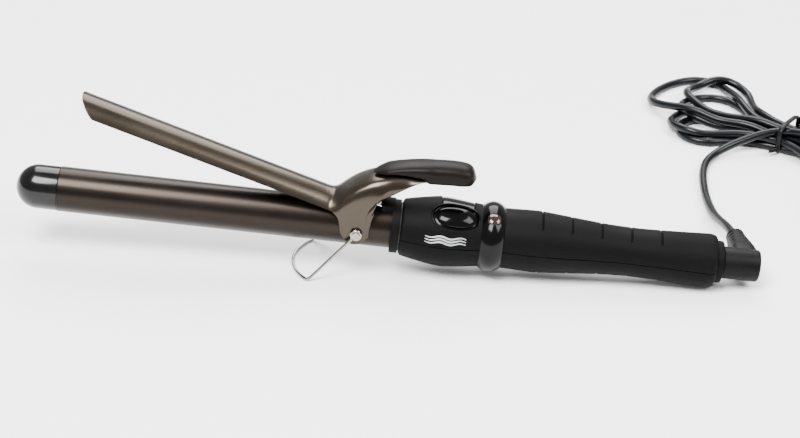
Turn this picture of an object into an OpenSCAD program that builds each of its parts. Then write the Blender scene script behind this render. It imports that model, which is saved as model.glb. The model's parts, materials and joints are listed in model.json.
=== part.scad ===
// Hair curling iron with spring clamp, wire rest and swivel cord.
// The iron is drawn along X from its tip at x = 0, with its axis at y = 0, z = 0.
// placed() then stands it on its wire rest and the rear rim of its grip.

/* [Barrel] */
// Radius of the heated barrel
barrel_r = 11; // [9.5:0.1:13.2]
// Wall of the barrel tube
barrel_wall = 1; // [0.8:0.05:1.3]
// Length of barrel tube that shows between the cap and the collar
barrel_len = 162; // [135:1:200]
// How far the barrel tube reaches into its socket
barrel_tail = 12; // [8:0.5:14]
// Length of the tip cap
cap_len = 21; // [18:0.5:26]
// Step from the barrel down to the cap
cap_step = 0.2; // [0.1:0.05:0.4]

/* [Clamp] */
// Thickness of the clamp sheet
sheet_t = 0.9; // [0.7:0.05:1.2]
// Gap between the closed clamp and the barrel
clamp_gap = 0.35; // [0.3:0.05:0.6]
// Half of the angle that the blade wraps round the barrel
wrap_deg = 60; // [45:1:65]
// Distance from the clamp pivot to the front of the collar
pivot_setback = 16.5; // [15.5:0.5:22]
// Angle at which the clamp stands open
open_deg = 16.5; // [8:0.5:18]
// Half width of the thumb rest
thumb_half_w = 7; // [6:0.5:9]
// Radius of the pivot screws' shanks
pivot_r = 1.4; // [1.2:0.05:1.6]

/* [Wire rest] */
// Diameter of the rest's wire
wire_d = 1.5; // [1.2:0.1:2]
// Distance from the pivot to the foot bar's corners
rest_len = 32; // [28:0.5:37]
// Angle of the rest below the barrel
rest_deg = 49; // [40:1:60]
// Half width of the foot bar
foot_half_w = 20; // [18:0.5:26]
// How far the foot bar bows towards the tip
foot_bow = 8.6; // [5:0.2:10]

/* [Handle] */
// Wall of the socket that holds the barrel
socket_wall = 0.8; // [0.7:0.05:1.1]
// Largest radius of the switch housing
housing_r = 17.1; // [16.8:0.1:20]
// Length of the switch housing
housing_len = 38.5; // [37:0.5:46]
// Outer radius of the indicator band
band_r = 17.45; // [17.2:0.05:20.5]
// Width of the indicator band at its foot
band_w = 11; // [9.5:0.5:14]
// Radius of the grip behind the band
grip_front_r = 15; // [14.5:0.1:17]
// Radius of the grip at its waist
waist_r = 12.05; // [11.8:0.05:14]
// Radius of the grip at its rear
grip_rear_r = 13.3; // [13:0.1:15.5]
// Length of the grip
grip_len = 105; // [98:1:126]
// Wall of the handle shells
shell_t = 1.8; // [1.5:0.1:2.2]
// Gap that shows between the two handle shells
seam = 0.24; // [0.1:0.02:0.4]
// Spacing of the grip's grooves
groove_pitch = 14.6; // [12:0.2:16]
// Angle of the switch from the top of the housing
switch_deg = 32; // [15:1:45]

/* [Swivel] */
// Radius of the swivel boss
swivel_r = 7.85; // [7.6:0.05:9.5]
// Length of the swivel boss
swivel_len = 18; // [16.5:0.5:22]
// Radius of the spindle in its bush
spindle_r = 5; // [4.6:0.1:5.4]
// Reach of the strain relief from the swivel's axis
boot_len = 28; // [26:0.5:30]
// Lean of the strain relief towards the grip
boot_lean = 6.5; // [3:0.5:12]

/* [Cord] */
// Diameter of the mains cord
cord_d = 4.5; // [4:0.1:5.2]
// Height of the tied hank
hank_h = 13; // [11:0.5:16]
// Width of the plug
plug_w = 34; // [30:0.5:37]
// Thickness of the plug
plug_t = 13.6; // [12:0.2:15]
// Spacing of the plug's pins
pin_gap = 19; // [18.6:0.1:19.2]
// Diameter of the plug's pins
pin_d = 4; // [3.9:0.05:4.05]

/* [Hidden] */

// Clearances
run_fit = 0.05;
face_gap = 0.05;
slip = 0.1;
apart = 0.3;
eps = 0.01;

// Stations along the iron
collar_x = cap_len + barrel_len;
collar_w = 4;
collar_gap = 0.5;
housing_x = collar_x + collar_w + collar_gap;
housing_end = housing_x + housing_len;
band_x = housing_end + 0.5;
band_mid = band_x + band_w / 2;
grip_x = band_x + band_w + 0.5;
grip_end = grip_x + grip_len - 1;
pivot_x = collar_x - pivot_setback;
barrel_end = collar_x + barrel_tail;
barrel_bore = barrel_r - barrel_wall;
housing_front_r = barrel_r + run_fit + socket_wall + slip + shell_t;
cap_r = barrel_r - cap_step;

// Clamp sheet
blade_in = barrel_r + clamp_gap;
blade_out = blade_in + sheet_t;
ear_in = barrel_r + clamp_gap;
ear_out = ear_in + sheet_t + 0.05;
ear_r = 6;
blade_tip = cap_len;
tip_r = blade_out * sin(wrap_deg) + 0.3;

// Pivot stack outwards from the ear
washer_t = 0.5;
washer_y = ear_out + face_gap;
eye_y = washer_y + washer_t + face_gap + wire_d / 2;
head_y = eye_y + wire_d / 2 + face_gap;
head_t = 0.9;
eye_ring = pivot_r + run_fit + wire_d / 2;

// Stance: a line under the foot wire and the rear rim is the table
rim_round = 1.4;
rim_x = grip_end - 5;
foot_c = [pivot_x - rest_len * cos(rest_deg), -rest_len * sin(rest_deg)];
rim_c = [rim_x, rim_round - grip_rear_r];
stance = rim_c - foot_c;
tilt = atan2(stance[1], stance[0]) - asin((rim_round - wire_d / 2) / norm(stance));
table_n = [-sin(tilt), cos(tilt)];
table_z = foot_c * table_n - wire_d / 2;
ring_w = 3.5;
swivel_x = grip_end + ring_w + apart;
swivel_end = swivel_x + swivel_len;
swivel_round = 1.5;
low_x = cap_r * cos(tilt) - cap_r;
high_x = (swivel_end - swivel_round) * cos(tilt) + (swivel_r - swivel_round) * sin(tilt)
    + swivel_round;
mid_x = (low_x + high_x) / 2;

// Cord route on the table, from the strain relief to the hank, and from it to the plug
lead_route = [
    [172, 28.1, 11.7], [170.9, 34.5, 11.3], [169.2, 43, 9.6], [167.3, 53, 6.9], [165.6, 64, 4.4],
    [164.3, 76.5, 3], [163.6, 88, 2.4], [163.6, 98, 2.3], [164.4, 112.5, 2.3], [168, 127.5, 2.4],
    [175, 138.5, 3], [184.5, 145.3, 4.8], [197, 147, 7]
];
tail_route = [[226, 137, 7], [233, 131, 5], [238, 123, 3.4], [239.5, 114, 4.5], [239.5, 104, 6.8]];
tie_at = [214, 153];
hank_deg = -33;
hank_left = [181, 190];
hank_left_r = 42;
hank_right = [262, 123];
hank_right_r = 19;
neck_r = 9;
plug_at = [239.5, 104];

// ---------- outline helpers ----------

// Point i of a smooth curve through the points of a list
function knot(p, i) = p[max(0, min(len(p) - 1, i))];
function blend4(a, b, c, d, t) =
    0.5 * ((2 * b) + (c - a) * t + (2 * a - 5 * b + 4 * c - d) * t * t
    + (3 * b - a - 3 * c + d) * t * t * t);
function curve(p, steps) = [
    for (i = [0 : len(p) - 2], k = [0 : steps - 1])
        blend4(knot(p, i - 1), knot(p, i), knot(p, i + 1), knot(p, i + 2), k / steps),
    p[len(p) - 1]
];
function arc(c, r, a, b, n = 8) = [
    for (i = [0 : n]) c + r * [cos(a + (b - a) * i / n), sin(a + (b - a) * i / n)]
];
function inset(p, by) = [for (q = p) [q[0] - by, q[1]]];

// Knots of the outer outlines as [radius, station]
housing_knots = [
    [housing_front_r, housing_x], [housing_front_r + 1.6, housing_x + housing_len * 0.2],
    [housing_r, housing_x + housing_len * 0.5], [housing_r - 0.45, housing_x + housing_len * 0.72],
    [housing_r - 1.8, housing_end]
];
grip_knots = [
    [grip_front_r - 0.3, grip_x], [grip_front_r, grip_x + grip_len * 0.09],
    [grip_front_r + 0.1, grip_x + grip_len * 0.16], [grip_front_r - 0.85, grip_x + grip_len * 0.28],
    [waist_r + 0.5, grip_x + grip_len * 0.46], [waist_r, grip_x + grip_len * 0.6],
    [waist_r + 0.3, grip_x + grip_len * 0.74], [grip_rear_r, rim_x]
];
band_seat_r = grip_front_r - 1;
housing_line = curve(housing_knots, 4);
grip_line = curve(grip_knots, 4);
rear_line = [[grip_rear_r - 0.1, rim_x + 3], [grip_rear_r - 1.1, grip_end]];
outer_line = concat(
    housing_line, [[band_seat_r, housing_end], [band_seat_r, grip_x]], grip_line, rear_line
);
inner_line = concat(
    inset(housing_line, shell_t), [[band_seat_r - shell_t, housing_end]],
    [[band_seat_r - shell_t, grip_x]], inset(grip_line, shell_t),
    [[grip_rear_r - shell_t, grip_end - 2.5]]
);

// Stands the iron on the table with its middle over the origin
module placed() {
    translate([-mid_x, 0, -table_z]) rotate([0, tilt, 0]) children();
}
// Turns an outline of [radius, station] about the iron's axis
module turned(line, from, to) {
    rotate([0, 90, 0]) rotate_extrude($fn = 96)
        polygon(concat([[0, from]], line, [[0, to]]));
}
module rod_x(r, from, to) {
    translate([from, 0, 0]) rotate([0, 90, 0]) cylinder(h = to - from, r = r, $fn = 64);
}
module tube_x(ro, ri, from, to) {
    difference() {
        rod_x(ro, from, to);
        rod_x(ri, from - 1, to + 1);
    }
}
// A round tube of n sides swept along a list of points
function unit(v) = v / norm(v);
function heading(p, i) = unit(knot(p, i + 1) - knot(p, i - 1));
function tube_ring(p, i, r, n) = let (
        d = heading(p, i),
        side = abs(d[2]) > 0.9 ? [1, 0, 0] : [0, 0, 1],
        a = unit(cross(d, side)),
        b = cross(a, d)
    ) [for (k = [0 : n - 1]) p[i] + r * (cos(360 * k / n) * a + sin(360 * k / n) * b)];
module swept(points, r, n = 8) {
    polyhedron([for (i = [0 : len(points) - 1]) each tube_ring(points, i, r, n)],
        skin_faces(len(points), n));
}
module wire(points, r) {
    swept(curve(points, 2), r);
}
module box(low, high) {
    translate(low) cube(high - low);
}
// A cylinder along Y between two stations of y
module pin_y(r, from, to) {
    translate([0, to, 0]) rotate([90, 0, 0]) cylinder(h = to - from, r = r, $fn = 48);
}

// ---------- barrel and heater ----------

module barrel() {
    color("#6b635e") placed() difference() {
        tube_x(barrel_r, barrel_bore, cap_len, barrel_end);
        translate([pivot_x, 0, 0]) pin_y(pivot_r + slip, -barrel_r - 1, barrel_r + 1);
    }
}

cap_spigot = 8;
module barrel_tip_cap() {
    color("#0c0c0d") placed() difference() {
        union() {
            translate([cap_r, 0, 0]) sphere(r = cap_r, $fn = 96);
            rod_x(cap_r, cap_r, cap_len);
            rod_x(barrel_bore - run_fit, cap_len - 1, cap_len + cap_spigot);
        }
        translate([cap_r, 0, 0]) sphere(r = cap_r - 1.6, $fn = 64);
        rod_x(cap_r - 2.4, cap_r, cap_len + cap_spigot + 1);
    }
}

heater_x = cap_len + cap_spigot + 4;
heater_len = 76;
shoe_half = 1.9;
module heat_spreaders() {
    color("#b9bcc0") placed() difference() {
        tube_x(barrel_bore - slip, 2.2, heater_x, heater_x + heater_len);
        box([heater_x - 1, -barrel_r, -shoe_half], [heater_x + heater_len + 1, barrel_r, shoe_half]);
    }
}
module ptc_heater() {
    color("#c8a24a") placed()
        box([heater_x + 2, -7, -shoe_half + slip], [heater_x + heater_len - 2, 7, shoe_half - slip]);
}
insulator_x = heater_x + heater_len + 1;
insulator_w = 5;
lead_y = 3.2;
lead_r = 0.9;
module rear_insulator() {
    color("#e8e4d8") placed() difference() {
        rod_x(barrel_bore - slip, insulator_x, insulator_x + insulator_w);
        for (s = [-1, 1]) translate([0, s * lead_y, 0])
            rod_x(lead_r + slip, insulator_x - 1, insulator_x + insulator_w + 1);
    }
}
fuse_x = insulator_x + 12;
fuse_len = 12;
fuse_r = 2;
module thermal_fuse() {
    color("#d9d9d2") placed() translate([0, lead_y, 0]) rod_x(fuse_r, fuse_x, fuse_x + fuse_len);
}

board_x = housing_x + 19.5;
board_len = 50;
board_t = 1.6;
board_half_w = 8.6;
board_top = -3;
module heater_leads() {
    color("#d8d8d8") placed() {
        translate([0, lead_y, 0]) rod_x(lead_r, heater_x + heater_len - 2, fuse_x);
        wire([[fuse_x + fuse_len, lead_y, 0], [board_x - 6, lead_y, 0],
            [board_x + 3, lead_y, board_top + lead_r]],
            lead_r);
        wire([[heater_x + heater_len - 2, -lead_y, 0], [board_x - 6, -lead_y, 0],
            [board_x + 3, -lead_y, board_top + lead_r]], lead_r);
    }
}

// ---------- pivot ----------

block_half = 6.5;
block_bore = 5;
module pivot_block() {
    color("#9a9a98") placed() difference() {
        rod_x(barrel_bore - slip, pivot_x - block_half, pivot_x + block_half);
        rod_x(block_bore, pivot_x - block_half - 1, pivot_x + block_half + 1);
        translate([pivot_x, 0, 0]) pin_y(pivot_r, -barrel_r, barrel_r);
    }
}
module pivot_screws() {
    color("#8f8a84") placed() for (s = [-1, 1]) translate([pivot_x, 0, 0]) rotate([0, 0, s < 0 ? 180 : 0])
        difference() {
            union() {
                pin_y(pivot_r, block_bore + 0.6, head_y + eps);
                pin_y(eye_ring - 0.25, head_y, head_y + head_t);
            }
            translate([-0.25, head_y + head_t - 0.5, -3]) cube([0.5, 1, 6]);
        }
}
module pivot_washers() {
    color("#c9c9c9") placed() for (s = [-1, 1]) translate([pivot_x, 0, 0]) rotate([0, 0, s < 0 ? 180 : 0])
        difference() {
            pin_y(pivot_r + 1.4, washer_y, washer_y + washer_t);
            pin_y(pivot_r + 0.02, washer_y - 1, washer_y + washer_t + 1);
        }
}

// ---------- clamp ----------

// Stations of the saddle and lever behind the blade, from the pivot, in the closed clamp:
// [along, ridge height, half width, lower edge height, half arc angle]
ear_w = ear_out - 0.1;
saddle = [
    [-17.5, blade_out + 0.1, blade_out * sin(wrap_deg) + 0.25, blade_out * cos(wrap_deg) - 0.25, wrap_deg],
    [-16.4, blade_out + 0.12, blade_out * sin(wrap_deg) + 0.25, blade_out * cos(wrap_deg) - 0.25, wrap_deg],
    [-14, blade_out + 2.4, ear_w - 0.5, 6.2, 72],
    [-11, blade_out + 6.4, ear_w, 5.4, 90],
    [-8, blade_out + 10.2, ear_w, 5, 90],
    [-4.5, blade_out + 13.9, ear_w, 5.5, 90],
    [-1, blade_out + 16.8, ear_w - 0.1, 9, 90],
    [3, blade_out + 19.3, ear_w - 1, 15, 90],
    [7, blade_out + 21.3, ear_w - 2.2, 19.5, 90],
    [11, blade_out + 22.9, ear_w - 3.4, 25.5, 90],
    [15, blade_out + 24.1, ear_w - 4.4, 31, 90],
    [20, blade_out + 25.3, thumb_half_w - 1, 35.2, 90],
    [27, blade_out + 27, thumb_half_w - 1.6, 37.6, 90]
];
arch_steps = 14;
// Slope of the ridge at station i, from its neighbours
function rise(i) = (knot(saddle, i + 1)[1] - knot(saddle, i - 1)[1])
    / (knot(saddle, i + 1)[0] - knot(saddle, i - 1)[0]);
// One point of an arch: u runs from -1 to 1 across it, by is how far it lies below the outside
function arch(i, u, by) = let (
        s = saddle[i],
        a = s[4],
        drop = (s[1] - s[3]) / (1 - cos(a)),
        down = by * sqrt(1 + pow(rise(i), 2)),
        w = s[2] - (a > 89 ? by : by * sin(a))
    ) [
        s[0],
        w * sin(a * u) / sin(a),
        s[1] - down - (drop - (a > 89 ? down : down * (1 - cos(a)) / 2)) * (1 - cos(a * u))
    ];
function arch_ring(i) = concat(
    [for (k = [0 : arch_steps]) arch(i, 2 * k / arch_steps - 1, 0)],
    [for (k = [arch_steps : -1 : 0]) arch(i, 2 * k / arch_steps - 1, sheet_t)]
);
// Faces of a tube of closed rings, each with n points
function skin_faces(rings, n) = concat(
    [[for (k = [n - 1 : -1 : 0]) k]],
    [for (i = [0 : rings - 2], k = [0 : n - 1]) each [
        [i * n + k, i * n + (k + 1) % n, (i + 1) * n + (k + 1) % n],
        [i * n + k, (i + 1) * n + (k + 1) % n, (i + 1) * n + k]
    ]],
    [[for (k = [0 : n - 1]) (rings - 1) * n + k]]
);
function strip_cap(first, steps, flip) = [
    for (k = [0 : steps - 1]) let (
        a = first + k, b = first + k + 1, c = first + 2 * steps + 1 - k, d = first + 2 * steps - k
    ) each flip ? [[a, d, b], [a, c, d]] : [[a, b, d], [a, d, c]]
];
module lever_sheet() {
    n = 2 * arch_steps + 2;
    m = len(saddle);
    rings = [for (i = [0 : m - 1]) each arch_ring(i)];
    sides = [for (i = [0 : m - 2], k = [0 : n - 1]) each [
        [i * n + k, i * n + (k + 1) % n, (i + 1) * n + (k + 1) % n],
        [i * n + k, (i + 1) * n + (k + 1) % n, (i + 1) * n + k]
    ]];
    polyhedron(rings, concat(strip_cap(0, arch_steps, true), sides,
        strip_cap((m - 1) * n, arch_steps, false)));
}
// The ear's edge below the sheet, round the pivot, then its top edge inside the sheet
ear_line = concat(
    [[-11.4, 6.8], [-11, 4.6], [-9.2, 1.2], [-7, -1.8]],
    arc([0, 0], ear_r, 200, 345, 12),
    [[5.4, 1.5], [4, 5.8], [2.6, 10], [2.2, 13.4]],
    [for (i = [7 : -1 : 3]) let (s = saddle[i]) [s[0] - (i == 7 ? 0.6 : 0), s[3] + (s[1] - s[3]) * 0.14]]
);
module blade_shell() {
    intersection() {
        rotate([0, 90, 0]) rotate([0, 0, 180 - wrap_deg]) rotate_extrude(angle = 2 * wrap_deg, $fn = 96)
            translate([blade_in, blade_tip - pivot_x]) square([sheet_t, pivot_x - blade_tip - 17]);
        union() {
            translate([blade_tip - pivot_x + tip_r, 0, 0]) cylinder(h = 30, r = tip_r, $fn = 96);
            box([blade_tip - pivot_x + tip_r, -20, 0], [0, 20, 30]);
        }
    }
}
// The clamp's own frame: pivot at the origin, turned to the angle at which it stands open
module clamp_frame() {
    placed() translate([pivot_x, 0, 0]) rotate([0, open_deg, 0]) children();
}
module clamp_blade() {
    color("#a39a94") clamp_frame() difference() {
        union() {
            blade_shell();
            lever_sheet();
            for (y = [-ear_out, ear_in]) translate([0, y + ear_out - ear_in, 0]) rotate([90, 0, 0])
                linear_extrude(height = ear_out - ear_in) polygon(ear_line);
        }
        pin_y(pivot_r + run_fit, -20, 20);
    }
}

// Side outline of the thumb rest, nose to rear over the top and back below
thumb_line = concat(
    curve([[-2.2, blade_out + 18.2], [3.5, blade_out + 23.6], [14.5, blade_out + 29.4],
        [27.3, blade_out + 34.4], [38.5, blade_out + 38]], 4),
    arc([41, blade_out + 33.6], 4.6, 90, -60, 6),
    curve([[38.5, blade_out + 28.6], [31, blade_out + 26], [24.2, blade_out + 23.4]], 2),
    [[21.5, blade_out + 24.2], [14, blade_out + 23.3], [7, blade_out + 21.6], [1, blade_out + 18.6]]
);
module thumb_rest() {
    color("#17130f") clamp_frame() translate([0, thumb_half_w, 0]) rotate([90, 0, 0])
        linear_extrude(height = 2 * thumb_half_w) polygon(thumb_line);
}
thumb_screw_x = 17;
module thumb_rest_screw() {
    color("#8f8a84") clamp_frame() translate([thumb_screw_x, 0, blade_out + 21.6]) {
        cylinder(h = 2, r = 2.6, $fn = 32);
        cylinder(h = 7, r = 1.2, $fn = 32);
    }
}

// Leaf spring between the barrel and the lever, held under the collar's tongue
tongue_len = 5.5;
tongue_t = 1.6;
leaf_half_w = 3;
leaf_t = 0.4;
leaf_line = [
    [collar_x - 1, barrel_r + 0.5], [collar_x - tongue_len, barrel_r + 0.5],
    [pivot_x + 6, barrel_r + 1.6], [pivot_x + 2.5, barrel_r + 4], [pivot_x, barrel_r + 7.4]
];
module clamp_spring() {
    color("#d7d2c8") placed() translate([0, leaf_half_w, 0]) rotate([90, 0, 0])
        linear_extrude(height = 2 * leaf_half_w)
            polygon(concat(leaf_line,
                [for (i = [len(leaf_line) - 1 : -1 : 0]) leaf_line[i] + [0, leaf_t]]));
}

// ---------- wire rest ----------

// A wire bent to a U, with an eye at the end of each leg and a bowed foot bar flat on the table
module wire_rest() {
    bow_r = (pow(foot_half_w, 2) + pow(foot_bow, 2)) / (2 * foot_bow);
    half = atan2(foot_half_w, bow_r - foot_bow);
    corner = [foot_c[0] - pivot_x, 0, foot_c[1]];
    along = corner / norm(corner);
    function foot(a) = corner + [
        (bow_r - foot_bow - bow_r * cos(a)) * cos(tilt), bow_r * sin(a),
        (bow_r - foot_bow - bow_r * cos(a)) * sin(tilt)
    ];
    function leg(s, t) = (1 - t) * (along * eye_ring + [0, s * eye_y, 0])
        + t * (corner + [0, s * foot_half_w, 0]);
    path = concat(
        [leg(-1, 0), leg(-1, 0.5), leg(-1, 0.93)],
        [for (k = [-11 : 11]) foot(half * k / 11.6)],
        [leg(1, 0.93), leg(1, 0.5), leg(1, 0)]
    );
    color("#c6c6c6") placed() translate([pivot_x, 0, 0]) {
        for (s = [-1, 1]) translate([0, s * eye_y, 0]) rotate([90, 0, 0]) rotate_extrude($fn = 48)
            translate([eye_ring, 0]) circle(d = wire_d, $fn = 32);
        swept(path, wire_d / 2, 12);
    }
}

// ---------- handle ----------

collar_r = housing_front_r - 0.6;
module front_collar() {
    color("#141516") placed() difference() {
        union() {
            rod_x(collar_r, collar_x, collar_x + collar_w);
            intersection() {
                rod_x(barrel_r + 0.9 + leaf_t + tongue_t, collar_x - tongue_len, collar_x + 1);
                box([collar_x - tongue_len, -5, 0], [collar_x + 1, 5, 30]);
            }
        }
        rod_x(barrel_r + run_fit, collar_x - tongue_len - 1, collar_x + collar_w + 1);
        box([collar_x - tongue_len - 1, -leaf_half_w - slip, 0],
            [collar_x - 0.8, leaf_half_w + slip, barrel_r + 0.5 + leaf_t + slip]);
    }
}
socket_r = housing_front_r - shell_t - 0.1;
module barrel_socket() {
    color("#3a3a3c") placed() difference() {
        rod_x(socket_r, housing_x - 0.4, barrel_end + 3);
        rod_x(barrel_r + run_fit, housing_x - 2, barrel_end + 0.2);
        rod_x(barrel_bore - 1.5, barrel_end, barrel_end + 5);
    }
}

lip = 1.4;
module shell_solid() {
    difference() {
        turned(outer_line, housing_x, grip_end);
        turned(inner_line, housing_x - 1, grip_end - 2.5);
        rod_x(socket_r + run_fit, housing_x - 1, housing_x + 6);
        rod_x(bush_r + run_fit, grip_end - 5, grip_end + 1);
    }
}
// Grooves across the top and the bottom of the grip
groove_w = 1.2;
groove_depth = 0.8;
groove_first = grip_x + grip_len * 0.17;
module grooves() {
    for (i = [0 : 4]) let (x = groove_first + i * groove_pitch)
        for (s = [-1, 1]) translate([x, 0, 0]) intersection() {
            difference() {
                rod_x(grip_front_r + 3, -groove_w / 2, groove_w / 2);
                rod_x(lookup(x, [for (q = grip_line) [q[1], q[0]]]) - groove_depth, -2, 2);
            }
            box([-2, -8, s < 0 ? -30 : 8.5], [2, 8, s < 0 ? -8.5 : 30]);
        }
}
screw_xs = [grip_x + grip_len * 0.26, grip_x + grip_len * 0.66];
screw_hole = 1.25;
boss_r = 2.8;
module at_screws() {
    for (x = screw_xs) translate([x, 0, 0]) children();
}
switch_x = housing_x + 26;
switch_face = housing_r - 1;
module switch_frame() {
    placed() translate([switch_x, 0, 0]) rotate([switch_deg, 0, 0]) children();
}
// An oval with round ends, of total length l and width w
module oval(l, w, h) {
    linear_extrude(height = h) {
        for (s = [-1, 1]) translate([s * (l - w) / 2, 0]) circle(d = w, $fn = 64);
        square([l - w, w], center = true);
    }
}
bezel_l = 24.4;
bezel_w = 15.6;
module switch_hole() {
    translate([switch_x, 0, 0]) rotate([switch_deg, 0, 0])
        translate([0, 0, 5]) oval(bezel_l + 0.1, bezel_w + 0.1, 30);
}
lens_deg = 32;
lens_r = 3.2;
module lens_hole(r) {
    translate([band_mid, 0, 0]) rotate([lens_deg, 0, 0]) cylinder(h = 40, r = r, $fn = 48);
}
module handle_upper_shell() {
    color("#1b1d1e") placed() difference() {
        union() {
            intersection() {
                shell_solid();
                box([0, -40, seam / 2], [grip_end + 5, 40, 40]);
            }
            intersection() {
                at_screws() cylinder(h = grip_front_r, r = boss_r, $fn = 32);
                turned(inset(outer_line, 0.5), housing_x + 1, grip_end - 1);
            }
        }
        intersection() {
            turned(inset(outer_line, shell_t * 0.5), housing_x - 2, grip_end);
            box([housing_x + 8, -40, -1], [grip_end - 8, 40, lip + slip]);
        }
        at_screws() translate([0, 0, -1]) cylinder(h = waist_r - shell_t - 1, r = screw_hole, $fn = 32);
        at_screws() translate([0, 0, -1]) cylinder(h = 1 + lip + 0.2, r = boss_r + 1, $fn = 32);
        grooves();
        switch_hole();
        lens_hole(lens_r - 0.6);
    }
}
screw_head_z = -waist_r + 3.2;
module handle_lower_shell() {
    color("#1b1d1e") placed() difference() {
        union() {
            intersection() {
                shell_solid();
                box([0, -40, -40], [grip_end + 5, 40, -seam / 2]);
            }
            intersection() {
                difference() {
                    turned(inset(outer_line, shell_t * 0.5 + 0.05), housing_x - 2, grip_end);
                    turned(inner_line, housing_x - 3, grip_end + 1);
                }
                box([housing_x + 8.2, -40, -1], [grip_end - 8.2, 40, lip]);
            }
            intersection() {
                at_screws() translate([0, 0, -waist_r - 1])
                    cylinder(h = waist_r + 1 + lip, r = boss_r + 0.6, $fn = 32);
                turned(inset(outer_line, 0.5), housing_x + 1, grip_end - 1);
            }
        }
        at_screws() translate([0, 0, -20]) cylinder(h = 30, r = screw_hole + 0.15, $fn = 32);
        at_screws() translate([0, 0, -20]) cylinder(h = 20 + screw_head_z, r = 2.6, $fn = 32);
        grooves();
    }
}
module handle_screws() {
    color("#7d7d7d") placed() at_screws() difference() {
        union() {
            translate([0, 0, screw_head_z - 1.6]) cylinder(h = 1.6, r = 2.4, $fn = 32);
            translate([0, 0, screw_head_z - eps])
                cylinder(h = 7.5 - screw_head_z, r = screw_hole, $fn = 32);
        }
        for (a = [0, 90]) rotate([0, 0, a]) translate([-1.5, -0.3, screw_head_z - 2]) cube([3, 0.6, 1.2]);
    }
}
band_line = concat(
    [[band_seat_r + 0.1, band_x], [grip_front_r + 0.4, band_x]],
    [for (k = [0 : 10]) [grip_front_r + 0.4 + (band_r - grip_front_r - 0.4) * sin(18 * k),
        band_x + band_w * (k + 0.5) / 11]],
    [[grip_front_r + 0.4, band_x + band_w], [band_seat_r + 0.1, band_x + band_w]]
);
module indicator_band() {
    color("#0b0b0c") placed() difference() {
        rotate([0, 90, 0]) rotate_extrude($fn = 96) polygon(band_line);
        lens_hole(lens_r + 0.05);
    }
}
module indicator_lens() {
    color("#4a3a38") placed() intersection() {
        lens_hole(lens_r);
        tube_x(band_r - 0.1, band_seat_r + 0.1, band_mid - 5, band_mid + 5);
    }
}
module indicator_led() {
    color("#f2e9e4") placed() translate([band_mid, 0, 0]) rotate([lens_deg, 0, 0])
        translate([0, 0, 4]) {
            cylinder(h = 5, r = 1.5, $fn = 32);
            translate([0, 0, 5]) sphere(r = 1.5, $fn = 32);
            for (y = [-0.6, 0.6]) translate([0, y, -3.4]) cylinder(h = 4, r = 0.25, $fn = 24);
        }
}
module circuit_board() {
    color("#2f6b3c") placed()
        box([board_x, -board_half_w, board_top - board_t], [board_x + board_len, board_half_w, board_top]);
}
module board_parts() {
    color("#30302f") placed() translate([board_x, 0, board_top]) {
        translate([33, -2.5, 0]) cylinder(h = 8, r = 3.2, $fn = 32);
        box([40, 1, 0], [47, 6, 4]);
        box([40, -7.5, 0], [46, -1.5, 2.5]);
        box([29, 3.5, 0], [35.5, 7, 3]);
    }
}

// ---------- switch ----------

rocker_l = 20.4;
rocker_w = 12;
rocker_axis = switch_face - 5.5;
rocker_pin = 1.1;
bezel_top = switch_face + 0.2;
module switch_bezel() {
    color("#0d0d0e") switch_frame() difference() {
        intersection() {
            translate([0, 0, rocker_axis - 3]) oval(bezel_l, bezel_w, bezel_top - rocker_axis + 3);
            rod_x(housing_r - 0.35, -30, 30);
        }
        translate([0, 0, 0]) oval(rocker_l + 1.2, rocker_w + 1, 30);
        translate([0, 0, rocker_axis]) pin_y(rocker_pin + run_fit, -20, 20);
    }
}
module rocker_button() {
    color("#101011") switch_frame() {
        intersection() {
            translate([0, 0, rocker_axis - 2]) oval(rocker_l, rocker_w, 12);
            translate([0, 0, switch_face - 17.4]) pin_y(17.8, -20, 20);
            translate([0, 0, switch_face - 13.6]) rod_x(14, -20, 20);
            translate([0, 0, rocker_axis]) pin_y(rocker_l / 2 + 0.2, -20, 20);
        }
        translate([0, 0, rocker_axis]) pin_y(rocker_pin, -rocker_w / 2 - 1.4, rocker_w / 2 + 1.4);
    }
}
module switch_body() {
    color("#26282a") switch_frame()
        translate([0, 0, rocker_axis - 7.6]) oval(rocker_l + 2, rocker_w - 1, 3.4);
}
module supply_wires() {
    color("#7a4a2c") placed() for (s = [-1, 1])
        wire([[board_x + board_len - 3, s * 8, board_top + 1], [board_x + board_len + 6, s * 8, -1],
            [holder_x - 10, s * 8, -1], [holder_x + 1, s * 8, -2.2]], 0.8);
}

// ---------- swivel ----------

bush_r = 9;
bush_back = 7;
module rear_ring() {
    color("#151617") placed() difference() {
        union() {
            rod_x(grip_rear_r - 3, grip_end, grip_end + ring_w);
            rod_x(bush_r, grip_end - bush_back, grip_end + 1);
            rod_x(bush_r + 1.2, grip_end - bush_back, grip_end - bush_back + 1.8);
        }
        rod_x(spindle_r + run_fit, grip_end - bush_back - 1, grip_end + ring_w + 1);
    }
}
holder_x = grip_end - 26;
holder_len = 16;
holder_bore = 5.2;
module contact_holder() {
    color("#3b3b3d") placed() difference() {
        intersection() {
            box([holder_x, -9, -8.4], [holder_x + holder_len, 9, -3]);
            turned(inset(outer_line, shell_t + slip), housing_x, grip_end);
        }
        rod_x(holder_bore, holder_x - 1, holder_x + holder_len + 1);
    }
}
ring_xs = [holder_x + 2, holder_x + 9];
slip_w = 4;
core_r = 3.5;
slip_r = 4.4;
module contact_springs() {
    color("#c79a4b") placed() for (i = [0, 1]) let (s = i == 0 ? 1 : -1)
        translate([ring_xs[i] + 0.5, 0, 0])
            box([0, s > 0 ? slip_r + slip : -slip_r - slip - 0.4, -3],
                [slip_w - 1, s > 0 ? slip_r + slip + 0.4 : -slip_r - slip, 3.5]);
}
module slip_rings() {
    color("#d0a85a") placed() for (x = ring_xs) tube_x(slip_r, core_r, x, x + slip_w);
}
clip_x = grip_end - bush_back - 1.4;
clip_w = 1;
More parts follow.
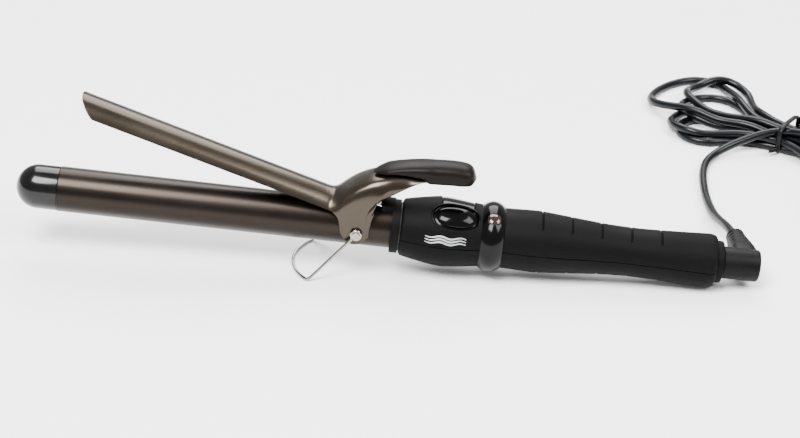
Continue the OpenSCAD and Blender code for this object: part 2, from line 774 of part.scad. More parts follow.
module swivel_spindle() {
    color("#202122") placed() difference() {
        union() {
            rod_x(core_r, holder_x - 1, clip_x - 1.2);
            rod_x(spindle_r, clip_x - 1.2, swivel_x + 4);
        }
        tube_x(spindle_r + 2, spindle_r - 1, clip_x - 0.02, clip_x + clip_w + 0.02);
    }
}
module swivel_clip() {
    color("#a8a8a8") placed() tube_x(spindle_r + 2, spindle_r - 0.98, clip_x, clip_x + clip_w);
}
boss_line = concat(
    [[swivel_r, swivel_x]],
    arc([swivel_r - swivel_round, swivel_end - swivel_round], swivel_round, 0, 90, 6)
);
module swivel_boss() {
    color("#18191a") placed() difference() {
        turned(boss_line, swivel_x, swivel_end);
        rod_x(spindle_r, swivel_x - 1, swivel_x + 4);
    }
}
// The strain relief leaves the boss backwards and leans towards the grip
boot_x = swivel_end - 6.2;
boot_base_r = 6;
boot_end_r = 3.9;
boot_core_r = 3.6;
module strain_relief() {
    color("#1d1e20") placed() translate([boot_x, 0, 0]) rotate([-91, 0, 0]) rotate([0, -boot_lean, 0])
        difference() {
            union() {
                translate([0, 0, 3]) cylinder(h = 7, r = boot_base_r, $fn = 48);
                translate([0, 0, 10 - eps])
                    cylinder(h = boot_len - 10 + eps, r1 = boot_base_r, r2 = boot_end_r, $fn = 48);
            }
            for (z = [13 : 2.6 : 24]) translate([0, 0, z]) difference() {
                cylinder(h = 0.9, r = 8, $fn = 48);
                translate([0, 0, -1]) cylinder(h = 3, r = boot_core_r, $fn = 48);
            }
        }
}

// ---------- cord and plug ----------

module cord_tube(route) {
    swept(curve(route, 2), cord_d / 2, 10);
}
module cord_lead() {
    color("#16181f") cord_tube(lead_route);
}
module cord_tail() {
    color("#16181f") cord_tube(tail_route);
}
module lobe(c, r) {
    hull() {
        translate(c) cylinder(h = hank_h, r = r, $fn = 32);
        translate(tie_at) cylinder(h = hank_h, r = neck_r, $fn = 32);
    }
}
module cord_hank() {
    color("#16181f") {
        lobe(hank_left, hank_left_r);
        lobe(hank_right, hank_right_r);
    }
}
module cord_tie() {
    color("#101010") translate([tie_at[0], tie_at[1], 0]) rotate([0, 0, hank_deg]) difference() {
        box([-1.5, -neck_r - 2.4, 0.02], [1.5, neck_r + 2.4, hank_h + 0.6]);
        box([-3, -neck_r - 1.6, 0.8], [3, neck_r + 1.6, hank_h - 0.4]);
    }
}
plug_relief = 16;
plug_len = 33;
pin_len = 19;
// Outline of the plug from above: the cord enters at the origin, the pins point along -Y
plug_line = concat(
    [[-3.4, 0], [-4.2, -plug_relief]],
    arc([-plug_w / 2 + 6, -plug_relief - 9], 6, 130, 180, 5),
    [[-plug_w / 2, -plug_relief - plug_len], [plug_w / 2, -plug_relief - plug_len]],
    arc([plug_w / 2 - 6, -plug_relief - 9], 6, 0, 50, 5),
    [[4.2, -plug_relief], [3.4, 0]]
);
module plug_body() {
    color("#141519") translate([plug_at[0], plug_at[1], 0]) intersection() {
        linear_extrude(height = plug_t) polygon(plug_line);
        union() {
            box([-plug_w, -plug_relief - plug_len - 1, 0], [plug_w, -plug_relief - 2, plug_t]);
            translate([0, -plug_relief - 3, plug_t / 2]) rotate([-90, 0, 0])
                cylinder(h = plug_relief + 3, r = 4.4, $fn = 48);
        }
    }
}
module plug_pins() {
    color("#c9ccd0") translate([plug_at[0], plug_at[1] - plug_relief - plug_len, plug_t / 2])
        for (s = [-1, 1]) translate([s * pin_gap / 2, 0, 0]) {
            pin_y(pin_d / 2, -pin_len + 1, eps);
            translate([0, -pin_len + 1 + eps, 0]) rotate([90, 0, 0])
                cylinder(h = 1, r1 = pin_d / 2, r2 = pin_d / 2 - 0.8, $fn = 48);
        }
}

barrel();
barrel_tip_cap();
heat_spreaders();
ptc_heater();
rear_insulator();
thermal_fuse();
heater_leads();
pivot_block();
pivot_screws();
pivot_washers();
clamp_blade();
thumb_rest();
thumb_rest_screw();
clamp_spring();
wire_rest();
front_collar();
barrel_socket();
handle_upper_shell();
handle_lower_shell();
handle_screws();
indicator_band();
indicator_lens();
indicator_led();
circuit_board();
board_parts();
switch_bezel();
rocker_button();
switch_body();
supply_wires();
rear_ring();
contact_holder();
contact_springs();
slip_rings();
swivel_spindle();
swivel_clip();
swivel_boss();
strain_relief();
cord_lead();
cord_hank();
cord_tie();
cord_tail();
plug_body();
plug_pins();
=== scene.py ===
"""Looks of a hair curling iron: coated barrel, sprung clamp, wire rest, grip, swivel cord and plug.

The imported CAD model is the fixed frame.  Sizes are in millimetres in the iron's own frame, which
runs along X from the tip with the axis at y = 0, z = 0, and Stance turns them into metres in the
shared frame.
"""
from __future__ import annotations

import json
import logging
import math
from dataclasses import dataclass, field
from enum import Enum

import bmesh
import bpy
import numpy as np
from mathutils import Matrix

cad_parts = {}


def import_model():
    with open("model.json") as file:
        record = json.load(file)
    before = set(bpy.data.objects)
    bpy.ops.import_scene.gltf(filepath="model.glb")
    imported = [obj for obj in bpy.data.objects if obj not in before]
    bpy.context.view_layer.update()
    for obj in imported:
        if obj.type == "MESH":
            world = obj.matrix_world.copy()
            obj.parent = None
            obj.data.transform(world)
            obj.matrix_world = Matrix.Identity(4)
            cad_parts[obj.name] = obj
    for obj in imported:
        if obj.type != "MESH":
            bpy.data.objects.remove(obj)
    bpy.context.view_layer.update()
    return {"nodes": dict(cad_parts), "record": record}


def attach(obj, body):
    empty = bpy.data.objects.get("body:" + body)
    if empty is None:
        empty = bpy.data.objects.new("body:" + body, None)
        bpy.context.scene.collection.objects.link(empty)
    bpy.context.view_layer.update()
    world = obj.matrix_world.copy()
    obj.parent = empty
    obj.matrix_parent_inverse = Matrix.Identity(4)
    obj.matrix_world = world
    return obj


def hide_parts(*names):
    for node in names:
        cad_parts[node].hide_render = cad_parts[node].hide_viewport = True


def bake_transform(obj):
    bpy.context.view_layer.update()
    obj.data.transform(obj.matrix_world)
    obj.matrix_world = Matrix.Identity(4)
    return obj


LOG = logging.getLogger("curling_iron")
MM = 0.001
UP = (0.0, 0.0, 1.0)
Array = np.ndarray
Piece = bpy.types.Object


# ---------------------------------------------------------------- numbers and curves


def linear(hex_colour: str) -> tuple[float, float, float, float]:
    """Turn an sRGB hex colour into linear light.

    Args:
        hex_colour: Six hex digits with a leading hash.

    Returns:
        Red, green, blue and an alpha of one.
    """
    parts = np.array([int(hex_colour[i : i + 2], 16) for i in (1, 3, 5)]) / 255.0
    light = np.where(parts <= 0.04045, parts / 12.92, ((parts + 0.055) / 1.055) ** 2.4)
    return (float(light[0]), float(light[1]), float(light[2]), 1.0)


def through(knots: Array, steps: int) -> Array:
    """Smooth curve through knots: a uniform Catmull-Rom cubic between each pair.

    Args:
        knots: One row a knot.
        steps: Samples on each stretch between knots.

    Returns:
        The samples, the last knot included.
    """
    knots = np.asarray(knots, float)
    padded = np.vstack([knots[:1], knots, knots[-1:]])
    a, b, c, d = (padded[i : len(padded) - 3 + i, None, :] for i in range(4))
    t = (np.arange(steps) / steps)[None, :, None]
    rows = 0.5 * (
        2 * b + (c - a) * t + (2 * a - 5 * b + 4 * c - d) * t**2 + (3 * b - a - 3 * c + d) * t**3
    )
    return np.vstack([rows.reshape(-1, knots.shape[1]), knots[-1:]])


def smoothstep(x: Array, low: float, high: float) -> Array:
    """Rise from 0 at low to 1 at high with level ends."""
    t = np.clip((np.asarray(x, float) - low) / (high - low), 0.0, 1.0)
    return t * t * (3.0 - 2.0 * t)


def arc_length(points: Array) -> Array:
    """Distance along a path at each of its points, from zero."""
    steps = np.linalg.norm(np.diff(points, axis=0), axis=1)
    return np.concatenate([[0.0], np.cumsum(steps)])


def evenly(points: Array, spacing: float) -> Array:
    """Resample a path at even spacing.

    Args:
        points: One row a point.
        spacing: Wanted distance between samples, in the points' unit.

    Returns:
        The new points.
    """
    along = arc_length(points)
    wanted = np.linspace(0.0, along[-1], int(round(along[-1] / spacing)) + 1)
    return np.stack([np.interp(wanted, along, points[:, i]) for i in range(points.shape[1])], 1)


def soften(values: Array, width: int) -> Array:
    """Average each row of values with its neighbours under a raised-cosine window."""
    window = np.hanning(2 * width + 3)[1:-1]
    window = window / window.sum()
    data = np.asarray(values, float).reshape(len(values), -1)
    padded = np.vstack([np.repeat(data[:1], width, 0), data, np.repeat(data[-1:], width, 0)])
    out = np.stack([np.convolve(padded[:, i], window, "valid") for i in range(data.shape[1])], 1)
    return out.reshape(np.shape(values))


def unbend(points: Array, least: float, span: int = 3, rounds: int = 400) -> Array:
    """Ease every bend of an evenly spaced line that is tighter than a least radius.

    The curvature vector at a point is the second difference over the span, divided by the
    square of the mean spacing.  Where its length is above one over the least radius, the point
    moves along it by a share of the excess, until no bend is above the limit.

    Args:
        points: The line, one point a row.
        least: Least radius of a bend.
        span: Number of steps to each side over which a bend is measured.
        rounds: Number of passes.

    Returns:
        The eased line, with its ends in place.
    """
    line = points.copy()
    for _ in range(rounds):
        before, middle, after = line[: -2 * span], line[span:-span], line[2 * span :]
        reach = (np.linalg.norm(after - middle, axis=1) + np.linalg.norm(middle - before, axis=1)) / 2
        curve = (before - 2 * middle + after) / reach[:, None] ** 2
        size = np.linalg.norm(curve, axis=1)
        excess = np.maximum(size - 1.0 / least, 0.0) / np.maximum(size, 1e-9)
        line[span:-span] += 0.12 * curve * (excess * reach**2)[:, None]
    return line


# ---------------------------------------------------------------- meshes


def surface(name: str, grid: Array, wrap_u: bool = False, wrap_v: bool = False) -> Piece:
    """Make an object from a grid of points.

    Neighbouring points in both directions join into quads.  Points that fall together at a pole
    are merged, and the faces are turned outwards.

    Args:
        name: Name of the piece.
        grid: Array of shape (u, v, 3), in metres in the shared frame.
        wrap_u: Join the last row to the first.
        wrap_v: Join the last column to the first.

    Returns:
        The new object, smooth shaded.
    """
    nu, nv = grid.shape[:2]
    index = np.arange(nu * nv).reshape(nu, nv)
    if wrap_u:
        index = np.vstack([index, index[:1]])
    if wrap_v:
        index = np.hstack([index, index[:, :1]])
    quads = np.stack([index[:-1, :-1], index[1:, :-1], index[1:, 1:], index[:-1, 1:]], -1)
    mesh = bpy.data.meshes.new(name)
    mesh.from_pydata(grid.reshape(-1, 3), [], quads.reshape(-1, 4))
    built = bmesh.new()
    built.from_mesh(mesh)
    bmesh.ops.remove_doubles(built, verts=built.verts, dist=1e-7)
    bmesh.ops.recalc_face_normals(built, faces=built.faces)
    built.to_mesh(mesh)
    built.free()
    mesh.shade_smooth()
    piece = bpy.data.objects.new(name, mesh)
    bpy.context.scene.collection.objects.link(piece)
    return piece


def tube_grid(path: Array, radius: Array | float, across: Array, sides: int) -> Array:
    """Grid of a round tube along a path.

    Each ring lies square to the path, on one axis across the path and given direction and one
    square to both.

    Args:
        path: Centre line, one row a point.
        radius: One radius, or one for each point.
        across: Direction that no part of the path runs along.
        sides: Points in each ring.

    Returns:
        Array of shape (points, sides, 3).
    """
    heading = np.gradient(path, axis=0)
    heading /= np.linalg.norm(heading, axis=1)[:, None]
    side = np.cross(heading, across)
    side /= np.linalg.norm(side, axis=1)[:, None]
    up = np.cross(side, heading)
    turn = around(sides)
    size = np.broadcast_to(radius, len(path))[:, None, None]
    ring = side[:, None] * np.cos(turn)[None, :, None] + up[:, None] * np.sin(turn)[None, :, None]
    return path[:, None] + size * ring


def superellipse(turn: Array, power: Array | float) -> tuple[Array, Array]:
    """Cosine and sine of a turn, each raised to a power with its sign kept."""
    c, s = np.cos(turn), np.sin(turn)
    return np.sign(c) * np.abs(c) ** power, np.sign(s) * np.abs(s) ** power


def around(count: int, closed: bool = False) -> Array:
    """Angles of a full turn, evenly spaced, the last one left out unless closed."""
    return np.linspace(0.0, 2 * np.pi, count, endpoint=closed)


def capped(grid: Array) -> Array:
    """Add a pole at each end of a grid of rings, at the ring's own middle."""
    first = np.repeat(grid[:1].mean(axis=1, keepdims=True), grid.shape[1], 1)
    last = np.repeat(grid[-1:].mean(axis=1, keepdims=True), grid.shape[1], 1)
    return np.concatenate([first, grid, last])


def solidify(piece: Piece, thickness: float, bevel: float = 0.0, even: bool = True) -> None:
    """Give a sheet its thickness inwards, in millimetres, with its edges rounded by bevel."""
    wall = piece.modifiers.new("wall", "SOLIDIFY")
    wall.thickness = thickness * MM
    wall.offset = -1.0
    wall.use_even_offset = even
    if bevel > 0.0:
        edge = piece.modifiers.new("edge", "BEVEL")
        edge.width = bevel * MM
        edge.segments = 2
        edge.limit_method = "ANGLE"
        edge.angle_limit = math.radians(50)


@dataclass(frozen=True)
class Stance:
    """Where the iron stands in the shared frame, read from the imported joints."""

    pivot: tuple[float, float, float]
    tilt: float
    pivot_x: float = 166.5
    open_angle: float = math.radians(16.5)

    @classmethod
    def of_frame(cls, record: dict) -> Stance:
        """Read the clamp's pivot and the iron's tilt from the record's joints."""
        joints = {j["name"]: j for j in record["behaviour"]["joints"]}
        axis = joints["cord_swivel"]["axis"]
        return cls(tuple(joints["clamp_hinge"]["pos_m"]), math.atan2(-axis[2], axis[0]))

    def _turned(self, points: Array, angle: float) -> Array:
        """Turn points about Y through the pivot and move them to the shared frame, in metres."""
        x, y, z = np.moveaxis(np.asarray(points, float), -1, 0)
        turned = np.stack(
            [x * math.cos(angle) + z * math.sin(angle), y, z * math.cos(angle) - x * math.sin(angle)],
            -1,
        )
        return turned * MM + np.array(self.pivot)

    def iron(self, points: Array) -> Array:
        """Points of the iron's frame, in the shared frame."""
        return self._turned(np.asarray(points, float) - [self.pivot_x, 0.0, 0.0], self.tilt)

    def clamp(self, points: Array) -> Array:
        """Points of the closed clamp's frame about its pivot, in the shared frame."""
        return self._turned(points, self.tilt + self.open_angle)


def polar(station: Array, radius: Array, angle: Array) -> Array:
    """Points at a station, radius and angle from the top about the iron's axis."""
    return np.stack([station + 0 * radius * angle, -radius * np.sin(angle), radius * np.cos(angle)], -1)


def lathe(stance: Stance, name: str, line: Array, sides: int = 128) -> Piece:
    """Turn an outline about the iron's axis.

    Args:
        stance: Where the iron stands.
        name: Name of the piece.
        line: Rows of station and radius; it closes where the radius is zero.
        sides: Points round the axis.

    Returns:
        The new piece.
    """
    return surface(name, stance.iron(polar(line[:, :1], line[:, 1:], around(sides))), wrap_v=True)


def rounded(corners: list[tuple[float, float]], radii: list[float], steps: int = 6) -> Array:
    """Outline of station and radius whose inner corners are rounded.

    Each corner is replaced by a quadratic curve that leaves and meets the two sides at the
    corner's radius from it.

    Args:
        corners: Corner points from end to end.
        radii: Rounding of each corner; the first and last are not rounded.
        steps: Points on each rounding.

    Returns:
        The outline's points.
    """
    points = np.array(corners, float)
    out = [points[:1]]
    t = np.linspace(0.0, 1.0, steps)[:, None]
    for before, at, after, size in zip(points[:-2], points[1:-1], points[2:], radii[1:-1]):
        enter = at + (before - at) * min(0.5, size / np.linalg.norm(before - at))
        leave = at + (after - at) * min(0.5, size / np.linalg.norm(after - at))
        out.append((1 - t) ** 2 * enter + 2 * t * (1 - t) * at + t**2 * leave)
    out.append(points[-1:])
    return np.vstack(out)


# ---------------------------------------------------------------- finishes


class Grain(Enum):
    """What roughens a finish."""

    NONE = "none"
    PEBBLE = "pebble"
    DRAWN = "drawn"


@dataclass(frozen=True)
class Finish:
    """One real material and how its surface was made."""

    name: str
    colour: str
    second: str
    metallic: float = 0.0
    roughness: float = 0.5
    roughness_swing: float = 0.06
    ior: float = 1.5
    coat: float = 0.0
    coat_roughness: float = 0.05
    sheen: float = 0.0
    specular: float = 0.5
    transmission: float = 0.0
    emission: float = 0.0
    grain: Grain = Grain.NONE
    grain_mm: float = 0.5
    depth_mm: float = 0.01
    cloud_mm: float = 14.0

    def build(self) -> bpy.types.Material:
        """Make the node material.

        A broad noise of cloud_mm mixes the two colours and swings the roughness, as handling
        and the finishing process leave it.  The grain is a bump of its own real size.

        Returns:
            The material.
        """
        material = bpy.data.materials.new(self.name)
        material.use_nodes = True
        tree = material.node_tree
        shader = tree.nodes["Principled BSDF"]
        for socket, value in (
            ("Metallic", self.metallic),
            ("IOR", self.ior),
            ("Coat Weight", self.coat),
            ("Coat Roughness", self.coat_roughness),
            ("Sheen Weight", self.sheen),
            ("Specular IOR Level", self.specular),
            ("Transmission Weight", self.transmission),
            ("Emission Strength", self.emission),
        ):
            shader.inputs[socket].default_value = value
        shader.inputs["Emission Color"].default_value = linear(self.second)
        where = add_node(tree, "ShaderNodeTexCoord").outputs["Object"]
        scale = 1.0 / (self.cloud_mm * MM)
        noise = add_node(tree, "ShaderNodeTexNoise", {"Scale": scale, "Detail": 3.0}, {"Vector": where})
        cloud = noise.outputs["Fac"]
        colours = {6: linear(self.colour), 7: linear(self.second)}
        tint = add_node(tree, "ShaderNodeMix", colours, {0: cloud}, data_type="RGBA")
        tree.links.new(tint.outputs[2], shader.inputs["Base Color"])
        low, high = max(0.02, self.roughness - self.roughness_swing), self.roughness + self.roughness_swing
        span = {"From Min": 0.3, "From Max": 0.7, "To Min": low, "To Max": high}
        swing = add_node(tree, "ShaderNodeMapRange", span, {"Value": cloud})
        tree.links.new(swing.outputs["Result"], shader.inputs["Roughness"])
        if self.grain is not Grain.NONE:
            depth = {"Strength": 1.0, "Distance": self.depth_mm * MM}
            bump = add_node(tree, "ShaderNodeBump", depth, {"Height": self._grain(tree, where)})
            tree.links.new(bump.outputs["Normal"], shader.inputs["Normal"])
        return material

    def _grain(self, tree: bpy.types.NodeTree, where: bpy.types.NodeSocket) -> bpy.types.NodeSocket:
        """Height of the surface's own grain: drawn marks are stretched along the iron."""
        per_metre = 1.0 / (self.grain_mm * MM)
        stretch = (0.03, 1.0, 1.0) if self.grain is Grain.DRAWN else (1.0, 1.0, 1.0)
        mapped = add_node(tree, "ShaderNodeMapping", {"Scale": stretch}, {"Vector": where}).outputs[0]
        values = {"Scale": per_metre, "Detail": 2.0}
        return add_node(tree, "ShaderNodeTexNoise", values, {"Vector": mapped}).outputs["Fac"]


def add_node(
    tree: bpy.types.NodeTree, kind: str, values: dict | None = None, links: dict | None = None, **settings
) -> bpy.types.Node:
    """Add one node.

    Args:
        tree: Node tree to add to.
        kind: Node type.
        values: Input name or index to its value.
        links: Input name or index to the socket that feeds it.
        **settings: The node's own properties.

    Returns:
        The node.
    """
    made = tree.nodes.new(kind)
    for key, value in settings.items():
        setattr(made, key, value)
    for key, value in (values or {}).items():
        made.inputs[key].default_value = value
    for key, socket in (links or {}).items():
        tree.links.new(socket, made.inputs[key])
    return made


# Sprayed ceramic coat over the aluminium barrel: dark bronze-grey, satin, with faint draw lines.
CERAMIC_COAT = Finish(
    "ceramic coat, sprayed", "#1F1A16", "#27211D", 0.92, 0.33, 0.04, coat=0.04, coat_roughness=0.2,
    grain=Grain.DRAWN, grain_mm=0.5, depth_mm=0.004, cloud_mm=40.0,
)
# The clamp's titanium-coloured lacquer is lighter and glossier, over pressed steel sheet.
TITANIUM_LACQUER = Finish(
    "titanium lacquer on pressed steel", "#37312A", "#403931", 0.95, 0.25, 0.04, coat=0.1,
    coat_roughness=0.1, cloud_mm=30.0,
)
# Glass-filled nylon, polished mould: deep black with a sharp highlight.
GLOSS_NYLON = Finish(
    "black nylon, polished mould", "#020202", "#040404", 0.0, 0.16, 0.03, specular=0.3,
    grain=Grain.PEBBLE, grain_mm=1.4, depth_mm=0.002,
)
# Soft-touch paint over ABS: near-black, broad faint sheen, very fine pebble.
SOFT_TOUCH = Finish(
    "ABS with soft-touch paint", "#020202", "#050505", 0.0, 0.62, 0.05, specular=0.07,
    grain=Grain.PEBBLE, grain_mm=0.35, depth_mm=0.012, cloud_mm=22.0,
)
# The thumb rest is heat-proof phenolic, satin, brown-black.
PHENOLIC = Finish(
    "phenolic, satin moulded", "#070504", "#0D0907", 0.0, 0.42, 0.05, specular=0.09,
    grain=Grain.PEBBLE, grain_mm=0.6, depth_mm=0.006,
)
# ABS with a polished tool: the switch, its panel and the indicator band.
GLOSS_ABS = Finish(
    "ABS, polished", "#020202", "#040404", 0.0, 0.13, 0.02, specular=0.14,
    grain=Grain.PEBBLE, grain_mm=2.0, depth_mm=0.002,
)
SMOKED_LENS = Finish(
    "smoked polycarbonate", "#2A1614", "#3A201D", 0.0, 0.06, 0.02, ior=1.58, transmission=0.5, coat=0.1,
)
LED_RESIN = Finish("clear epoxy", "#EFE4DE", "#F7EFEA", 0.0, 0.1, 0.02, ior=1.53, transmission=0.3)
CHROME_WIRE = Finish(
    "spring wire, nickel-chrome plate", "#94908B", "#A19D98", 1.0, 0.14, 0.03, grain=Grain.DRAWN,
    grain_mm=0.3, depth_mm=0.002,
)
STEEL_SCREW = Finish("zinc-plated screw steel", "#8B857E", "#9C958D", 1.0, 0.3, 0.06, cloud_mm=3.0)
LEAF_STEEL = Finish("rolled spring steel", "#C9C4BB", "#D8D3CA", 1.0, 0.25, 0.05, grain=Grain.DRAWN)
ALUMINIUM = Finish("extruded aluminium", "#B7BABD", "#C4C7CA", 1.0, 0.35, 0.05, grain=Grain.DRAWN)
DIE_CAST = Finish("zinc die casting", "#8D8F91", "#9A9C9E", 1.0, 0.45, 0.06, grain=Grain.PEBBLE)
BRASS = Finish("rolled brass", "#C49A4C", "#D0A95C", 1.0, 0.25, 0.05, grain=Grain.DRAWN)
NICKEL_PIN = Finish("nickel-plated brass", "#C9C6BE", "#D5D2CA", 1.0, 0.16, 0.04, cloud_mm=4.0)
STEATITE = Finish("glazed steatite", "#E4DFD2", "#EDE9DD", 0.0, 0.3, 0.05, grain=Grain.PEBBLE)
TITANATE = Finish("barium titanate ceramic", "#B98B45", "#C69A55", 0.0, 0.6, 0.05, grain=Grain.PEBBLE)
NYLON_INNER = Finish(
    "glass-filled nylon, moulded", "#232426", "#2B2C2E", 0.0, 0.5, 0.05, grain=Grain.PEBBLE,
)
GLASS_SLEEVE = Finish("glass-fibre sleeve", "#B7784A", "#C98B5C", 0.0, 0.7, 0.05, grain=Grain.DRAWN)
SOLDER_MASK = Finish("epoxy board, solder mask", "#235C31", "#2C6B3A", 0.0, 0.35, 0.04, grain=Grain.PEBBLE)
EPOXY_PART = Finish("epoxy component", "#26262A", "#303034", 0.0, 0.45, 0.05, grain=Grain.PEBBLE)
# Cord sheath and plug: extruded PVC, blue-black, with long soft highlights.
CORD_PVC = Finish(
    "extruded PVC", "#020305", "#05070B", 0.0, 0.3, 0.05, specular=0.2, grain=Grain.PEBBLE,
    grain_mm=1.6, depth_mm=0.02, cloud_mm=25.0,
)
PLUG_PVC = Finish(
    "moulded PVC", "#050506", "#09090B", 0.0, 0.42, 0.05, specular=0.15, grain=Grain.PEBBLE,
    grain_mm=0.5, depth_mm=0.01,
)
BOOT_PVC = Finish(
    "flexible PVC, moulded", "#030303", "#060606", 0.0, 0.48, 0.05, specular=0.1,
    grain=Grain.PEBBLE, grain_mm=0.6, depth_mm=0.008,
)
SILVER_INK = Finish("silver pad print", "#9C9EA0", "#A8AAAC", 0.6, 0.4, 0.04)
MATS: dict[str, bpy.types.Material] = {}


def dress(piece: Piece, finish: Finish) -> None:
    """Give every slot of a piece one finish, made once."""
    if finish.name not in MATS:
        MATS[finish.name] = finish.build()
    if not piece.material_slots:
        piece.data.materials.append(None)
    for place in piece.material_slots:
        place.link = "DATA" if piece.data.users == 1 else "OBJECT"
        place.material = MATS[finish.name]


def seat(piece: Piece, body: str, finish: Finish, slot: str, *nodes: str) -> None:
    """Dress a piece, fix it to its body and say which CAD nodes it stands for.

    Args:
        piece: The new piece.
        body: Body that it rides on.
        finish: Its finish.
        slot: The record's material slot; not used.
        *nodes: CAD nodes that it replaces.
    """
    dress(piece, finish)
    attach(piece, body)
    if nodes:
        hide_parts(*nodes)
    LOG.info("%s: %d points, on %s", piece.name, len(piece.data.vertices), body)


def wall(
    name: str, grid: Array, thickness: float, place: tuple[str, Finish, str], *nodes: str,
    facing: tuple[float, float, float] | None = None, bevel: float = 0.0, even: bool = True,
) -> None:
    """Make a thin-walled piece from the grid of its outside and seat it.

    Args:
        name: Name of the piece.
        grid: Grid of the outside, in metres.
        thickness: Wall, inwards, in millimetres.
        place: Body, finish and material slot.
        *nodes: CAD nodes that it replaces.
        facing: Direction an open sheet's outside faces; left out, the grid closes on itself.
        bevel: Rounding of the edges, in millimetres.
        even: Keep the wall even at sharp bends.
    """
    piece = surface(name, grid, wrap_v=facing is None)
    if facing is not None:
        outward(piece, facing)
    solidify(piece, thickness, bevel, even)
    seat(piece, *place, *nodes)


# ---------------------------------------------------------------- camera and room


@dataclass(frozen=True)
class Studio:
    """Camera, floor and lights."""

    target: tuple[float, float, float] = (0.0051, 0.0, 0.0264)
    distance: float = 1.0594
    elevation: float = math.radians(29.49)
    yaw: float = math.radians(-0.81)
    roll: float = math.radians(2.94)
    lens: float = 98.0

    def camera(self) -> None:
        """Place the camera on a ray through the target, rolled about that ray."""
        level = np.array([math.cos(self.yaw), -math.sin(self.yaw), 0.0])
        ahead = np.array([math.sin(self.yaw), math.cos(self.yaw), 0.0])
        heading = ahead * math.cos(self.elevation) - np.array(UP) * math.sin(self.elevation)
        rise = np.cross(level, heading)
        right = level * math.cos(self.roll) + rise * math.sin(self.roll)
        up = rise * math.cos(self.roll) - level * math.sin(self.roll)
        place = np.array(self.target) - heading * self.distance
        data = bpy.data.cameras.new("camera")
        data.lens = self.lens
        data.sensor_width = 36.0
        data.clip_start = 0.05
        eye = bpy.data.objects.new("camera", data)
        matrix = np.eye(4)
        matrix[:3, 0], matrix[:3, 1], matrix[:3, 2], matrix[:3, 3] = right, up, -heading, place
        eye.matrix_world = Matrix(matrix.tolist())
        bpy.context.scene.collection.objects.link(eye)
        bpy.context.scene.camera = eye

    def room(self) -> None:
        """Pale floor and three broad soft lamps under a white sky."""
        side = 6.0
        grid = np.stack(np.meshgrid([-side, side], [-side, side], [0.0], indexing="ij"), -1)[:, :, 0]
        floor = surface("floor", grid)
        white = Finish("pale paper", "#F4F4F4", "#F7F7F7", 0.0, 0.9, 0.02, specular=0.1)
        dress(floor, white)
        lamps = (
            ("key", (-0.45, -0.75, 1.5), 0.8, 80.0),
            ("fill", (1.1, -0.4, 1.3), 0.9, 40.0),
            ("back", (0.0, 1.3, 1.6), 1.5, 80.0),
        )
        for name, place, size, power in lamps:
            data = bpy.data.lights.new(name, "AREA")
            data.shape = "SQUARE"
            data.size = size
            data.energy = power
            lamp = bpy.data.objects.new(name, data)
            lamp.location = place
            aim = -np.array(place)
            tip = math.atan2(math.hypot(aim[0], aim[1]), -aim[2])
            lamp.rotation_euler = (tip, 0.0, math.atan2(-aim[0], aim[1]))
            bpy.context.scene.collection.objects.link(lamp)
        world = bpy.data.worlds.new("sky")
        world.use_nodes = True
        sky = world.node_tree.nodes["Background"]
        sky.inputs["Color"].default_value = linear("#FFFFFF")
        sky.inputs["Strength"].default_value = 0.75
        bpy.context.scene.world = world


# ---------------------------------------------------------------- cord


@dataclass(frozen=True)
class Lobe:
    """One loop of the hank: its direction from the tie, its reach and its half width."""

    degrees: float
    reach: float
    width: float


